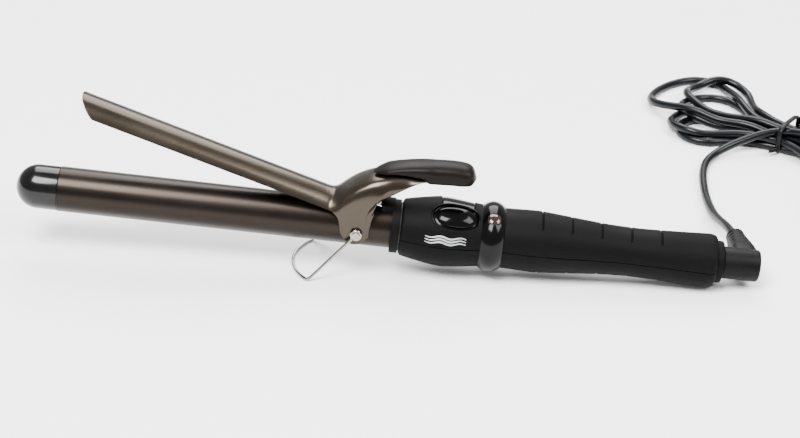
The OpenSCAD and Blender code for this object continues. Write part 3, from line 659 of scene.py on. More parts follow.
@dataclass
class Cord:
    """Mains cord: lead from the swivel, hank held by a tie, tail and plug."""

    length: float = 1.8
    diameter: float = 4.5
    tie: tuple[float, float] = (214.0, 153.0)
    hank_degrees: float = -33.0
    lead: tuple[tuple[float, float, float], ...] = (
        (172, 28.1, 11.7), (170.9, 34.5, 11.3), (169.2, 43, 9.6), (167.3, 53, 6.9), (165.6, 64, 4.4),
        (164.3, 76.5, 3), (163.6, 88, 2.4), (163.6, 98, 2.3), (164.4, 112.5, 2.3), (168, 127.5, 2.3),
        (174.5, 135.5, 2.3), (183.5, 141, 2.3), (193, 145, 2.3), (202, 148, 2.3),
    )
    tail: tuple[tuple[float, float, float], ...] = (
        (226, 137, 4), (233, 131, 3), (238, 123, 2.4), (239.5, 114, 4.5), (239.5, 104, 6.8),
    )
    left: tuple[Lobe, ...] = (
        Lobe(127, 75, 24), Lobe(134.5, 89, 31), Lobe(144, 67, 21), Lobe(159, 65, 19), Lobe(163, 63, 20),
    )
    right: tuple[Lobe, ...] = (
        Lobe(-27, 65, 21), Lobe(-31, 63, 21), Lobe(-29, 66, 21), Lobe(-34, 62, 21), Lobe(-31, 61, 21),
    )
    columns: tuple[float, ...] = (-4.6, 9.2, 0, 4.6, -4.6, 9.2, 0, 4.6, -9.2, -4.6, -9.2)
    tie_strand: float = 0.55
    samples: int = 48
    least_bend: float = 15.6
    line: Array | None = field(default=None, init=False)

    def _loop(self, lobe: Lobe, start: float, end: float, left: bool) -> Array:
        """One loop out of the tie and back, in plan.

        The reach follows a sine from the tie to the far end and back.  The width follows the
        sine of twice the angle times the reach, so the loop leaves the tie straight.  The loop
        turns from the hank's own line towards its direction as it goes out.

        Args:
            lobe: The loop.
            start: Distance across the tie where it leaves.
            end: Distance across the tie where it comes back.
            left: True for a loop that goes left from the tie.

        Returns:
            Plan points, the last left out.
        """
        t = np.linspace(0.0, 1.0, self.samples, endpoint=False)
        out = np.sin(np.pi * t)
        base = math.radians(self.hank_degrees + (180.0 if left else 0.0))
        angle = base + (math.radians(lobe.degrees) - base) * smoothstep(out, 0.0, 0.85)
        along = np.stack([np.cos(angle), np.sin(angle)], 1)
        across = np.stack([np.sin(angle), -np.cos(angle)], 1)
        line = math.radians(self.hank_degrees)
        square = np.array([-math.sin(line), math.cos(line)])
        offset = start * np.cos(np.pi * t / 2) ** 2 + end * np.sin(np.pi * t / 2) ** 2
        swell = lobe.width * np.sin(2 * np.pi * t) * out
        return (
            np.array(self.tie)
            + along * (lobe.reach * out)[:, None]
            + across * swell[:, None]
            + square * offset[:, None]
        )

    def route(self) -> Array:
        """Centre line of the whole cord, laid down from the plug end upwards.

        Returns:
            The line's points, in metres.
        """
        loops = []
        for k, (right, left) in enumerate(zip(self.right, self.left)):
            loops.append(self._loop(right, self.columns[2 * k], self.columns[2 * k + 1], False))
            loops.append(self._loop(left, self.columns[2 * k + 1], self.columns[2 * k + 2], True))
        plan = np.vstack(loops)
        radius = self.diameter / 2
        lead = through(np.array(self.lead), 6)
        tail = through(np.array(self.tail), 6)
        flat = np.column_stack([plan, np.full(len(plan), radius)])
        rough = np.vstack([lead[:-1], flat, tail])
        held = 0.45 * arc_length(lead)[-1]
        points = evenly(rough, 2.0)
        points[:, :2] = unbend(soften(points[:, :2], 5), self.least_bend)
        points[0] = self.lead[0]
        return self._lay(points, held) * MM

    def _lay(self, points: Array, held: float) -> Array:
        """Lift each stretch over whatever of the cord already lies under it.

        The plug end lies lowest.  A point stands at least as high as the top of every later
        stretch that it crosses, and rises to that height in a long slope on both sides.

        Args:
            points: Route with its lowest possible heights.
            held: Length at the start that keeps its own heights.

        Returns:
            The route with its heights.
        """
        along = arc_length(points)
        size = self.diameter * 0.98
        plan = points[:, :2]
        gap = np.linalg.norm(plan[:, None] - plan[None], axis=-1)
        over = (along[None] - along[:, None] > 5 * self.diameter) & (gap < size)
        lift = np.sqrt(np.maximum(size**2 - gap**2, 0.0))
        base = points[:, 2]
        slope = 0.24 * np.abs(along[:, None] - along[None])
        height = base.copy()
        for _ in range(26):
            need = np.where(over, height[None] + lift, 0.0).max(axis=1)
            height = np.maximum(base, need)
            height = (height[None] - slope).max(axis=1)
            height = np.maximum(height, base)
        easy = soften(height, 5)
        easy = np.where(along < held, base, np.maximum(easy, self.diameter / 2))
        return np.column_stack([plan, soften(easy, 2)])

    def build(self) -> Piece:
        """Returns:
            The cord.
        """
        path = self.route()
        LOG.info("cord: %.3f m along its middle, %.1f mm high", arc_length(path)[-1], path[:, 2].max() / MM)
        grid = tube_grid(path, self.diameter / 2 * MM, np.array([0.0, 0.0, 1.0]), 14)
        cord = surface("mains_cord", capped(grid), wrap_v=True)
        dress(cord, CORD_PVC)
        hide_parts("cord_lead", "cord_hank", "cord_tail")
        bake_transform(cord)
        self.line = path
        return cord

    def tie_wire(self) -> list[Piece]:
        """Plastic-covered twist tie: a flat band round the hank and its two twisted ends.

        The band's section runs round a superellipse that clears the strands.  The ends are two
        strands on a helix that leans away from the hank.

        Returns:
            The band and the twist.
        """
        line = math.radians(self.hank_degrees)
        along = np.array([math.cos(line), math.sin(line), 0.0])
        square = np.array([-math.sin(line), math.cos(line), 0.0])
        near = np.linalg.norm(self.line[:, :2] / MM - np.array(self.tie), axis=1) < 10.0
        top = self.line[near, 2].max() / MM + self.diameter / 2 + 0.4
        half = max(self.columns) + self.diameter / 2 + 0.5
        turn = around(96)
        wide, high = superellipse(turn, 0.5)
        y = half * wide
        z = top / 2 + 0.15 + (top / 2 - 0.1) * high
        middle = np.array([*self.tie, 0.0]) + square * y[:, None] + np.array([0, 0, 1.0]) * z[:, None]
        outward = np.stack([np.cos(turn), np.sin(turn)], 1)
        lift = square * outward[:, :1] + np.array([0, 0, 1.0]) * outward[:, 1:]
        corner = np.array(
            [[-1.6, -0.05], [-0.8, 0.25], [0, 0.45], [0.8, 0.25], [1.6, -0.05], [0.8, -0.3], [-0.8, -0.3]]
        )
        grid = middle[:, None] + along * corner[None, :, :1] + lift[:, None] * corner[None, :, 1:]
        grid[..., 2] = np.maximum(grid[..., 2], 0.05)
        band = surface("tie_band", grid * MM, wrap_u=True, wrap_v=True)
        root = np.array([*self.tie, 3.2]) - square * (half + 0.2)
        lean = -square * 0.85 - along * 0.25 + np.array([0, 0, 0.06])
        lean /= np.linalg.norm(lean)
        s = np.linspace(0.0, 1.0, 60)
        twist = []
        for phase in (0.0, np.pi):
            spin = phase + s * 5 * np.pi
            a = np.cross(lean, along)
            b = np.cross(lean, a)
            coil = np.cos(spin)[:, None] * a + np.sin(spin)[:, None] * b
            path = root + lean * (s * 6)[:, None] + self.tie_strand * coil
            twist.append(capped(tube_grid(path * MM, self.tie_strand * MM, along, 8)))
        ends = [surface(f"tie_twist_{i + 1}", g, wrap_v=True) for i, g in enumerate(twist)]
        return [band, *ends]


@dataclass(frozen=True)
class Plug:
    """Flat two-pin plug with a ribbed cord guard."""

    at: tuple[float, float] = (239.5, 104.0)
    width: float = 34.0
    thickness: float = 13.6
    relief: float = 16.0
    length: float = 33.0
    rib_pitch: float = 2.3

    def build(self) -> Piece:
        """Loft the body and its guard.

        The section is a superellipse whose half width, half height and squareness follow
        smooth curves of the distance from the cord, with ribs on the guard.

        Returns:
            The plug's body.
        """
        neck, whole = self.relief, self.relief + self.length
        s = np.concatenate([np.linspace(0, neck, 81)[:-1], np.linspace(neck, whole, 61)])
        swell = smoothstep(s, neck - 3, neck + 9)
        rib = 0.45 * (0.5 + 0.5 * np.cos(2 * np.pi * s / self.rib_pitch))
        rib = rib * smoothstep(neck - 2.5 - s, 0, 1) * smoothstep(s, 0.5, 1.5)
        end = np.sqrt(np.clip((whole - s) / 1.2, 0.0, 1.0))
        end = 1 - 0.07 * (1 - end)
        half_w = ((3.4 + 0.05 * s + rib) * (1 - swell) + self.width / 2 * swell) * end
        half_h = ((3.4 + 0.04 * s + rib) * (1 - swell) + self.thickness / 2 * swell) * end
        power = 2.0 / (2.0 + 3.0 * swell)
        wide, high = superellipse(around(72)[None], power[:, None])
        x = half_w[:, None] * wide
        z = half_h[:, None] * high + self.thickness / 2
        grid = np.stack([self.at[0] + x, self.at[1] - s[:, None] + 0 * x, z], -1) * MM
        return surface("plug_moulding", capped(grid), wrap_v=True)


# ---------------------------------------------------------------- barrel and rest


@dataclass(frozen=True)
class Barrel:
    """Heated tube with its tip cap."""

    radius: float = 11.0
    cap_radius: float = 10.8
    cap_end: float = 21.0
    end: float = 195.0
    coat_wall: float = 1.0

    def build(self, stance: Stance) -> None:
        """Make the tube and the cap.

        Args:
            stance: Where the iron stands.
        """
        r, c, bore = self.radius, self.cap_end, self.radius - self.coat_wall
        tube = rounded(
            [(c + 0.05, bore), (c + 0.05, r), (self.end, r), (self.end, bore), (c + 0.05, bore)],
            [0, 0.25, 0.1, 0, 0],
        )
        seat(lathe(stance, "barrel_tube", tube, 160), "handle", CERAMIC_COAT, "barrel_coat", "barrel")
        bow = np.linspace(0.0, np.pi / 2, 40)
        cr = self.cap_radius
        dome = np.stack([cr - cr * np.cos(bow), cr * np.sin(bow)], 1)
        plug = r - 1.2
        skirt = rounded(
            [(cr, cr), (c - 0.05, cr), (c - 0.05, plug), (c + 8, plug), (c + 8, 0.0)], [0, 0.3, 0.1, 0.3, 0]
        )
        seat(
            lathe(stance, "tip_cap", np.vstack([dome, skirt[1:]]), 128),
            "handle", GLOSS_NYLON, "cap_plastic", "barrel_tip_cap",
        )


@dataclass(frozen=True)
class WireRest:
    """Bent-wire rest with an eye at each end."""

    wire: float = 1.5
    length: float = 32.0
    angle: float = math.radians(49.0)
    foot_half: float = 20.0
    bow: float = 8.6
    eye_y: float = 13.7
    eye_ring: float = 2.2

    def build(self, stance: Stance) -> None:
        """Sweep the wire down one leg, round the bowed foot bar and up the other leg.

        Args:
            stance: Where the iron stands.
        """
        corner = np.array([-self.length * math.cos(self.angle), 0.0, -self.length * math.sin(self.angle)])
        along = corner / np.linalg.norm(corner)
        bow_r = (self.foot_half**2 + self.bow**2) / (2 * self.bow)
        half = math.atan2(self.foot_half, bow_r - self.bow)
        a = np.linspace(-half, half, 41)
        reach = bow_r - self.bow - bow_r * np.cos(a)
        foot = corner + np.stack(
            [reach * math.cos(stance.tilt), bow_r * np.sin(a), reach * math.sin(stance.tilt)], 1
        )
        t = np.linspace(0.0, 1.0, 18, endpoint=False)[:, None]
        sides = []
        for s in (-1.0, 1.0):
            top = along * self.eye_ring + [0.0, s * self.eye_y, 0.0]
            sides.append(top * (1 - t) + (corner + [0.0, s * self.foot_half, 0.0]) * t)
        path = np.vstack([sides[0], foot, sides[1][::-1]])
        path = soften(evenly(path, 0.7), 4)
        path[:, 0] += stance.pivot_x
        square = np.cross(along, [0.0, 1.0, 0.0])
        grid = tube_grid(stance.iron(path), self.wire / 2 * MM, turn_y(square, stance.tilt), 16)
        rest = surface("rest_wire", capped(grid), wrap_v=True)
        seat(rest, "rest", CHROME_WIRE, "chrome_wire", "wire_rest")
        ring = np.linspace(0, 2 * np.pi, 64, endpoint=False)[:, None]
        bead = np.linspace(0, 2 * np.pi, 16, endpoint=False)[None]
        out = self.eye_ring + self.wire / 2 * np.cos(bead)
        for name, s in (("rest_eye_near", -1.0), ("rest_eye_far", 1.0)):
            grid = np.stack(
                [
                    stance.pivot_x + out * np.cos(ring),
                    s * self.eye_y + self.wire / 2 * np.sin(bead) + 0 * ring,
                    out * np.sin(ring),
                ],
                -1,
            )
            eye = surface(name, stance.iron(grid), wrap_u=True, wrap_v=True)
            seat(eye, "rest", CHROME_WIRE, "chrome_wire")


def turn_y(v: Array, angle: float) -> Array:
    """Turn a direction about Y."""
    c, s = math.cos(angle), math.sin(angle)
    return np.array([v[0] * c + v[2] * s, v[1], v[2] * c - v[0] * s])


# ---------------------------------------------------------------- clamp


@dataclass(frozen=True)
class Clamp:
    """Pressed sheet clamp: blade, saddle, ears and lever, with the thumb rest on it."""

    inner: float = 11.35
    sheet: float = 0.9
    wrap: float = math.radians(60.0)
    tip: float = -145.5
    tip_r: float = 10.9
    thumb_half: float = 7.0
    # Ridge of the saddle and lever: distance from the pivot and height over the blade's outside
    ridge: tuple[tuple[float, float], ...] = (
        (-20, 0), (-17.4, 0.3), (-15.4, 1.9), (-13, 4.6), (-10.6, 7.6), (-8, 10.6), (-4.5, 14.1),
        (-1, 16.9), (3, 19.3), (7, 21.3), (11, 22.9), (15, 24.1), (20, 25.3), (26, 26.6),
    )
    # Edge of the sheet at the same stations: along, height, half width
    edge: tuple[tuple[float, float, float], ...] = (
        (-20, 6.1, 10.6), (-17.2, 6.1, 10.7), (-14.4, 6.0, 11.5), (-11.4, 4.4, 12.1), (-9, 0.9, 12.25),
        (-6.6, -3.2, 12.3), (-0.5, -6.2, 12.3), (5.3, -2.2, 12.3), (3.2, 4.6, 12.25), (1.4, 11.6, 11.9),
        (3.0, 17.6, 10.9), (8.8, 25.0, 9.2), (18, 34.4, 6.9), (25, 38.2, 5.6),
    )
    # How square the section's shoulders are at the same stations: 2 is an ellipse
    shoulder: tuple[float, ...] = (2, 2, 2.2, 2.8, 3.6, 4.3, 4.6, 4.2, 3.4, 2.7, 2.3, 2.1, 2, 2)
    # Top and bottom lines of the thumb rest: distance from the pivot, height over the blade
    thumb_top: tuple[tuple[float, float], ...] = (
        (-3.6, 17.0), (2.6, 23.3), (13.5, 29.6), (25.5, 34.6), (34.5, 37.3), (40.0, 37.2), (43.6, 33.2),
    )
    thumb_low: tuple[tuple[float, float], ...] = (
        (-3.6, 17.0), (7, 21.7), (15.6, 24.0), (20.6, 24.6), (22.6, 23.2), (31, 26.0), (38.8, 28.6),
        (42.4, 29.9), (43.6, 33.2),
    )

    def sheet_grid(self) -> Array:
        """Grid of the whole sheet's outside.

        Blade: a strip of a cylinder whose end is cut to a half circle in plan.  Behind it each
        section runs from the ridge down to the edge: with g the part of the drop that is done,
        its half width is the edge's times (1 - (1 - g)^n)^(1/n), n being the shoulder.

        Returns:
            Array of shape (along, across, 3) in the clamp's frame.
        """
        outer = self.inner + self.sheet
        u = np.linspace(-1.0, 1.0, 61)
        side = np.abs(u)
        y_blade = outer * np.sin(u * self.wrap)
        z_blade = outer * np.cos(u * self.wrap)
        tip = self.tip + self.tip_r - np.sqrt(np.maximum(self.tip_r**2 - y_blade**2, 0.0))
        v = np.linspace(0.0, 1.0, 90, endpoint=False)[:, None] ** 1.15
        blade = np.stack(
            [tip * (1 - v) + (-20.0) * v, y_blade + 0 * v, z_blade + 0 * v], -1
        )
        knots = np.column_stack([np.array(self.ridge), np.array(self.edge), np.array(self.shoulder)])
        rows = through(knots, 10)
        ridge_x, ridge_z, edge_x, edge_z, edge_y, n = (rows[:, i : i + 1] for i in range(6))
        ridge_z = ridge_z + outer
        g = (1 - np.cos(side * self.wrap)) / (1 - math.cos(self.wrap))
        low = side**1.35
        mix = smoothstep(ridge_x, -19.0, -12.0)
        down = g * (1 - mix) + low * mix
        width = np.maximum(1 - (1 - np.clip(down, 0, 1)) ** n, 0.0) ** (1 / n)
        circle = np.sin(side * self.wrap) / math.sin(self.wrap)
        width = circle * (1 - mix) + width * mix
        x = ridge_x + (edge_x - ridge_x) * down
        z = ridge_z + (edge_z - ridge_z) * down
        y = np.sign(u) * edge_y * width
        return np.concatenate([blade, np.stack([x, y, z], -1)])

    def thumb_grid(self) -> Array:
        """Grid of the thumb rest.

        The top and bottom lines are smooth curves; each section is a superellipse between
        them, of power 2.7 over the top and 4.6 below.

        Returns:
            Array of shape (along, round, 3) in the clamp's frame.
        """
        outer = self.inner + self.sheet
        top, low = through(np.array(self.thumb_top), 14), through(np.array(self.thumb_low), 12)
        s = 0.5 - 0.5 * np.cos(np.linspace(0, np.pi, 120))
        x = -3.6 + 47.2 * s
        z_top, z_low = (soften(np.interp(x, line[:, 0], line[:, 1]), 2) for line in (top, low))
        rise = np.maximum(z_top - z_low, 0.0) / 2
        nose = np.sqrt(np.clip((x + 3.6) / 6.0, 0, 1))
        heel = np.sqrt(np.clip(1 - ((x - 37.0).clip(0) / 6.6) ** 2, 0, 1))
        half = self.thumb_half * nose * heel * (0.86 + 0.14 * smoothstep(x, 0, 24))
        turn = around(96)[None]
        over = np.sin(turn) > 0
        wide, high = superellipse(turn, np.where(over, 2 / 2.7, 2 / 4.6))
        y = half[:, None] * wide
        z = (z_top + z_low)[:, None] / 2 + rise[:, None] * high
        z = z - 0.5 * (np.abs(y) / self.thumb_half) ** 2 * over
        return np.stack([x[:, None] + 0 * y, y, outer + z], -1)

    def build(self, stance: Stance) -> None:
        """Make the sheet and the thumb rest.

        Args:
            stance: Where the iron stands.
        """
        wall(
            "clamp_sheet", stance.clamp(self.sheet_grid()), self.sheet,
            ("clamp", TITANIUM_LACQUER, "clamp_coat"), "clamp_blade", facing=UP, bevel=0.18, even=False,
        )
        rest = surface("thumb_pad", stance.clamp(self.thumb_grid()), wrap_v=True)
        seat(rest, "clamp", PHENOLIC, "thumb_plastic", "thumb_rest")


def outward(piece: Piece, towards: tuple[float, float, float]) -> None:
    """Flip an open sheet if its faces look away from the given direction on the whole."""
    mesh = piece.data
    normals = np.empty(len(mesh.polygons) * 3)
    areas = np.empty(len(mesh.polygons))
    mesh.polygons.foreach_get("normal", normals)
    mesh.polygons.foreach_get("area", areas)
    if (normals.reshape(-1, 3) * areas[:, None]).sum(axis=0) @ np.array(towards) < 0:
        mesh.flip_normals()


# ---------------------------------------------------------------- handle


@dataclass(frozen=True)
class Handle:
    """Switch housing, indicator band and waisted grip."""

    housing: float = 187.5
    housing_end: float = 226.0
    band: float = 226.5
    band_w: float = 11.0
    band_r: float = 17.45
    grip: float = 238.0
    grip_len: float = 105.0
    end: float = 342.0
    wall: float = 1.8
    seam: float = 0.35
    grooves: int = 5
    groove_pitch: float = 14.6
    groove_half: float = 0.6
    groove_depth: float = 0.85
    panel: tuple[float, float] = (206.3, 222.6)
    panel_angles: tuple[float, float] = (math.radians(-50.0), math.radians(33.0))
    panel_inset: float = 0.6
    panel_r: float = 16.4
    oval: tuple[float, float] = (11.6, 7.2)
    oval_power: float = 2.4
    dish_depth: float = 1.9
    switch_x: float = 213.5
    switch_angle: float = math.radians(32.0)
    # Outline of the housing and of the grip: share of the length, radius
    front_line: tuple[tuple[float, float], ...] = (
        (0, 13.75), (0.2, 15.35), (0.5, 17.1), (0.72, 16.65), (1, 15.3),
    )
    rear_line: tuple[tuple[float, float], ...] = (
        (0, 14.7), (0.09, 15.0), (0.16, 15.1), (0.28, 14.15), (0.46, 12.55), (0.6, 12.05), (0.74, 12.35),
        (99 / 105, 13.3),
    )

    def outline(self) -> tuple[Array, Array]:
        """Radius of the outside against station.

        Returns:
            Stations and radii.
        """
        front, rear = np.array(self.front_line), np.array(self.rear_line)
        front[:, 0] = self.housing + (self.housing_end - self.housing) * front[:, 0]
        rear[:, 0] = self.grip + self.grip_len * rear[:, 0]
        front, rear = through(front, 24), through(rear, 16)
        stations = np.concatenate([front[:, 0], rear[:, 0], [self.end - 2, self.end - 0.6, self.end]])
        radii = np.concatenate([front[:, 1], rear[:, 1], [13.2, 12.6, 11.6]])
        return stations, radii

    def dish(self, station: Array, angle: Array) -> Array:
        """Depth of the oval recess round the rocker: level inside, with a soft wall."""
        across = 16.8 * (angle - self.switch_angle)
        power = self.oval_power
        along = (station - self.switch_x) / self.oval[0]
        oval = (np.abs(along) ** power + np.abs(across / self.oval[1]) ** power) ** (1 / power)
        return self.dish_depth * (1 - smoothstep(oval, 0.93, 1.04))

    def shell_grid(self, upper: bool) -> Array:
        """Outside of one half shell.

        Radius is the outline less: a groove of raised-cosine section across the top and the
        bottom at each pitch; a sunk panel round the switch; a small rounding along the seam.

        Args:
            upper: True for the upper half.

        Returns:
            Array of shape (along, round, 3) in the iron's frame.
        """
        stations, radii = self.outline()
        fine = np.unique(
            np.concatenate(
                [np.arange(self.housing, self.end, 1.2)]
                + [edge_x + np.linspace(-1, 1, 9) for edge_x in self.panel]
                + [self.groove(i) + np.linspace(-0.9, 0.9, 11) for i in range(self.grooves)]
                + [self.housing + np.array([0.15, 0.4, 0.8]), self.end - np.array([1.5, 0.6, 0.2, 0.0])]
            )
        )
        fine = np.unique(np.concatenate([fine[fine <= self.end], np.linspace(201.0, 226.0, 60)]))
        edge = math.asin(self.seam / 2 / 14.0)
        local = np.linspace(-np.pi / 2 + edge, np.pi / 2 - edge, 141)
        angle = local if upper else local + np.pi
        radius = np.interp(fine, stations, radii)
        front = smoothstep(fine, self.housing - 0.1, self.housing + 1.3)
        radius = radius - 1.3 * (1 - front) ** 2
        radius = radius[:, None] + 0 * angle
        depth = np.zeros_like(fine)
        for i in range(self.grooves):
            near = np.clip(np.abs(fine - self.groove(i)) / self.groove_half, 0, 1)
            depth += self.groove_depth * (0.5 + 0.5 * np.cos(np.pi * near))
        span = 1 - smoothstep(np.abs(local), math.radians(34), math.radians(42))
        radius = radius - depth[:, None] * span
        if upper:
            inside = (
                smoothstep(fine, self.panel[0] - 0.25, self.panel[0] + 0.25)
                * (1 - smoothstep(fine, self.panel[1] - 0.25, self.panel[1] + 0.25))
            )[:, None]
            low, high = self.panel_angles
            within = (smoothstep(angle, low, low + 0.03) * (1 - smoothstep(angle, high - 0.03, high)))[None]
            radius = radius - self.panel_inset * inside * within - self.dish(fine[:, None], angle[None])
        seam = 1 - smoothstep(np.pi / 2 - np.abs(local), 0.0, 0.035)
        radius = radius - 0.25 * seam**2
        return polar(fine[:, None], radius, angle)

    def groove(self, i: int) -> float:
        """Station of groove i."""
        return self.grip + self.grip_len * 0.17 + i * self.groove_pitch

    def band_line(self) -> Array:
        """Outline of the indicator band: a half wave on a short foot."""
        foot, top = 15.4, self.band_r
        s = np.linspace(0.0, 1.0, 41)
        near, far = self.band, self.band + self.band_w
        x = near + self.band_w * (0.04 + 0.92 * s)
        wave = np.stack([x, foot + (top - foot) * np.sin(np.pi * s) ** 0.8], 1)
        start, stop = [near, 13.6], [far, 13.6]
        return np.vstack([start, [near, foot - 0.1], wave, [far, foot - 0.1], stop, start])

    def build(self, stance: Stance) -> None:
        """Make the shells, the band, the lens, the panel, the rocker and the sign.

        Args:
            stance: Where the iron stands.
        """
        for name, upper, node in (
            ("grip_upper", True, "handle_upper_shell"),
            ("grip_lower", False, "handle_lower_shell"),
        ):
            grid = stance.iron(self.shell_grid(upper))
            facing = (0.0, 0.0, 1.0 if upper else -1.0)
            wall(name, grid, self.wall, ("handle", SOFT_TOUCH, "handle_plastic"), node, facing=facing)
        band = lathe(stance, "band_ring", self.band_line())
        seat(band, "handle", GLOSS_ABS, "gloss_trim", "indicator_band")
        self._lens(stance)
        self._panel(stance)
        self._rocker(stance)
        self._sign(stance)

    def _on(self, stance: Stance, along: Array, across: Array, height: Array, x: float) -> Array:
        """Points of a frame that stands on the iron's axis at station x and the switch's angle."""
        c, s = math.cos(self.switch_angle), math.sin(self.switch_angle)
        y = across * c - height * s
        z = across * s + height * c
        return stance.iron(np.stack([x + along, y, z], -1))

    def _disc(
        self, rx: float, ry: float, rings: int = 24, sides: int = 64, power: float = 2.0
    ) -> tuple[Array, Array, Array]:
        """Superelliptic polar grid: along, across and the radius fraction."""
        f = np.linspace(0.0, 1.0, rings)[:, None]
        a = around(sides)[None]
        wide, high = superellipse(a, 2.0 / power)
        return rx * f * wide, ry * f * high, f + 0 * a

    def _lens(self, stance: Stance) -> None:
        """Domed smoked lens let into the band."""
        x, y, f = self._disc(3.3, 3.9)
        dome = np.sqrt(np.maximum(self.band_r**2 - y**2, 0)) + 0.35 - 0.9 * f**3
        top = self._on(stance, x, y, dome, self.band + self.band_w / 2)
        wall("lens_dome", top, 1.2, ("handle", SMOKED_LENS, "lens"), "indicator_lens")

    def _panel(self, stance: Stance) -> None:
        """Gloss panel let into the top of the housing, the oval bezel and its floor.

        The panel is a patch of the housing's own outline, lowered by a fraction of the inset and
        by the dish round the rocker.  The bezel is an oval of the outline whose height falls
        from a rounded rim to the dish's floor.
        """
        stations, radii = self.outline()
        x = np.linspace(self.panel[0] + 0.1, self.panel[1] - 0.1, 70)[:, None]
        low, high = self.panel_angles
        a = np.linspace(low + 0.02, high - 0.02, 150)[None]
        radius = np.interp(x, stations, radii) - self.panel_inset + 0.3 - self.dish(x, a) * 1.1
        edge = np.minimum(
            np.minimum(x - x.min(), x.max() - x), self.panel_r * np.minimum(a - a.min(), a.max() - a)
        )
        radius = radius - 0.35 * (1 - smoothstep(edge, 0.0, 0.5))
        trim = ("handle", GLOSS_ABS, "gloss_trim")
        wall("switch_panel", stance.iron(polar(x, radius, a)), 0.8, trim, facing=UP)
        x, y, f = self._disc(self.oval[0] + 0.3, self.oval[1] + 0.3, 40, 96, self.oval_power)
        height = np.sqrt(np.interp(self.switch_x + x, stations, radii) ** 2 - y**2) + 0.12
        height = height - (self.dish_depth - 0.1) * (1 - smoothstep(f, 0.87, 0.96))
        height = height - 0.6 * smoothstep(f, 0.985, 1.0)
        oval = self._on(stance, x, y, height, self.switch_x)
        wall("switch_bezel_oval", oval, 0.6, trim, "switch_bezel")

    def _rocker(self, stance: Stance) -> None:
        """Oval rocker: a dome on a straight skirt, tilted to its off side."""
        x, y, f = self._disc(9.5, 5.6, 30, 72, 2.3)
        top = 17.2 - 0.04 * x - 1.2 * f**2 - 0.7 * f**6
        cap = self._on(stance, x, y, top, self.switch_x)
        skirt = self._on(stance, x[-1:], y[-1:], top[-1:] - 2.0, self.switch_x)
        grid = np.concatenate([cap, skirt])
        wall("rocker_cap", grid, 0.7, ("rocker", GLOSS_ABS, "gloss_trim"), "rocker_button")

    def _sign(self, stance: Stance) -> None:
        """Small pad-printed sign of three waves on the housing's side, in place of lettering."""
        stations, radii = self.outline()
        s = np.linspace(0.0, 1.0, 80)
        for i in range(3):
            x = 199.5 + 20.0 * s
            angle = math.radians(76) + (i - 1) * 0.085 + 0.03 * np.sin(2 * np.pi * (s * 2.0))
            taper = 0.012 + 0.014 * np.sin(np.pi * s)
            radius = np.interp(x, stations, radii) + 0.03
            edges = angle[:, None] + taper[:, None] * np.array([-1.0, 0.0, 1.0])
            grid = stance.iron(polar(x[:, None], radius[:, None], edges))
            place = ("handle", SILVER_INK, "handle_plastic")
            wall(f"wave_print_{i + 1}", grid, 0.03, place, facing=(0.0, -1.0, 0.2))


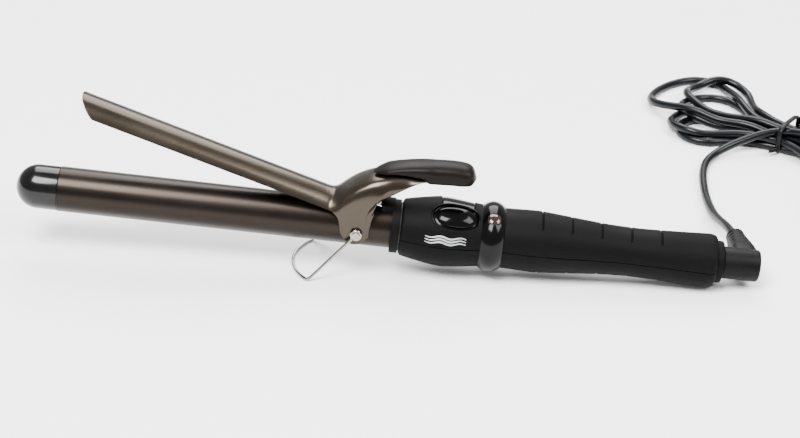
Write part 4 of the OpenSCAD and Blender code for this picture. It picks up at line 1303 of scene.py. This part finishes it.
@dataclass(frozen=True)
class Swivel:
    """Rear ring, swivel boss and the ribbed strain relief."""

    start: float = 345.8
    end: float = 363.8
    radius: float = 7.85
    boot_x: float = 357.6
    boot_len: float = 28.0
    rib_pitch: float = 3.1
    lean: float = math.radians(6.5)

    def build(self, stance: Stance) -> Piece:
        """Make the ring, the boss and the boot.

        Args:
            stance: Where the iron stands.

        Returns:
            The boot.
        """
        ring = rounded(
            [(341.9, 9.0), (341.9, 10.3), (345.5, 10.3), (345.5, 5.1), (341.9, 5.1), (341.9, 9.0)],
            [0, 0.1, 1.1, 0.1, 0, 0],
        )
        seat(lathe(stance, "end_ring", ring), "handle", SOFT_TOUCH, "handle_plastic", "rear_ring")
        boss = rounded(
            [(self.start, 0.0), (self.start, self.radius), (self.end, self.radius), (self.end, 0.0)],
            [0, 0.4, 1.7, 0],
        )
        seat(lathe(stance, "swivel_cap", boss), "swivel", BOOT_PVC, "swivel_plastic", "swivel_boss")
        s = np.linspace(0.0, 1.0, 150)
        out = 3.0 + (self.boot_len - 3.0) * s
        taper = smoothstep(s, 0.12, 1.0)
        rib = 0.22 * (0.5 + 0.5 * np.cos(2 * np.pi * out / self.rib_pitch))
        rib = rib * smoothstep(s, 0.3, 0.42) * (1 - smoothstep(s, 0.9, 0.98))
        half = 6.6 * (1 - taper) + 4.6 * taper - rib
        half = half * (0.72 + 0.28 * np.sqrt(np.clip((1 - s) / 0.05, 0.0, 1.0)))
        wide, high = superellipse(around(64)[None], 2.0 / (2.0 + 1.2 * (1 - taper))[:, None])
        x, z = half[:, None] * wide, half[:, None] * high
        along = -math.sin(self.lean) * out[:, None] + x * math.cos(self.lean)
        back = math.cos(self.lean) * out[:, None] + x * math.sin(self.lean)
        grid = np.stack([self.boot_x + along, back, z + 0.0175 * back], -1)
        boot = surface("strain_boot", capped(stance.iron(grid)), wrap_v=True)
        seat(boot, "swivel", BOOT_PVC, "swivel_plastic", "strain_relief")
        return boot


CAD_FINISHES: dict[str, Finish] = {
    "heat_spreaders": ALUMINIUM, "ptc_heater": TITANATE, "rear_insulator": STEATITE,
    "thermal_fuse": STEEL_SCREW, "heater_leads": GLASS_SLEEVE, "pivot_block": DIE_CAST,
    "pivot_screws": STEEL_SCREW, "pivot_washers": STEEL_SCREW, "thumb_rest_screw": STEEL_SCREW,
    "clamp_spring": LEAF_STEEL, "front_collar": SOFT_TOUCH, "barrel_socket": NYLON_INNER,
    "handle_screws": STEEL_SCREW, "indicator_led": LED_RESIN, "circuit_board": SOLDER_MASK,
    "board_parts": EPOXY_PART, "switch_body": NYLON_INNER, "supply_wires": GLASS_SLEEVE,
    "contact_holder": NYLON_INNER, "contact_springs": BRASS, "slip_rings": BRASS,
    "swivel_spindle": NYLON_INNER, "swivel_clip": STEEL_SCREW, "plug_pins": NICKEL_PIN,
}


def main() -> None:
    """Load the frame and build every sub-assembly."""
    logging.basicConfig(level=logging.INFO, format="%(message)s")
    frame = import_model()
    stance = Stance.of_frame(frame["record"])
    studio = Studio()
    studio.camera()
    cord_maker = Cord()
    cord = cord_maker.build()
    tie = cord_maker.tie_wire()
    for piece in tie:
        seat(piece, "handle", PLUG_PVC, "tie", *(("cord_tie",) if piece.name == "tie_band" else ()))
    plug = Plug().build()
    seat(plug, "handle", PLUG_PVC, "plug_pvc", "plug_body")
    boot = Swivel().build(stance)
    Barrel().build(stance)
    WireRest().build(stance)
    Clamp().build(stance)
    Handle().build(stance)
    for name, finish in CAD_FINISHES.items():
        dress(frame["nodes"][name], finish)
    studio.room()


if __name__ == "__main__":
    main()
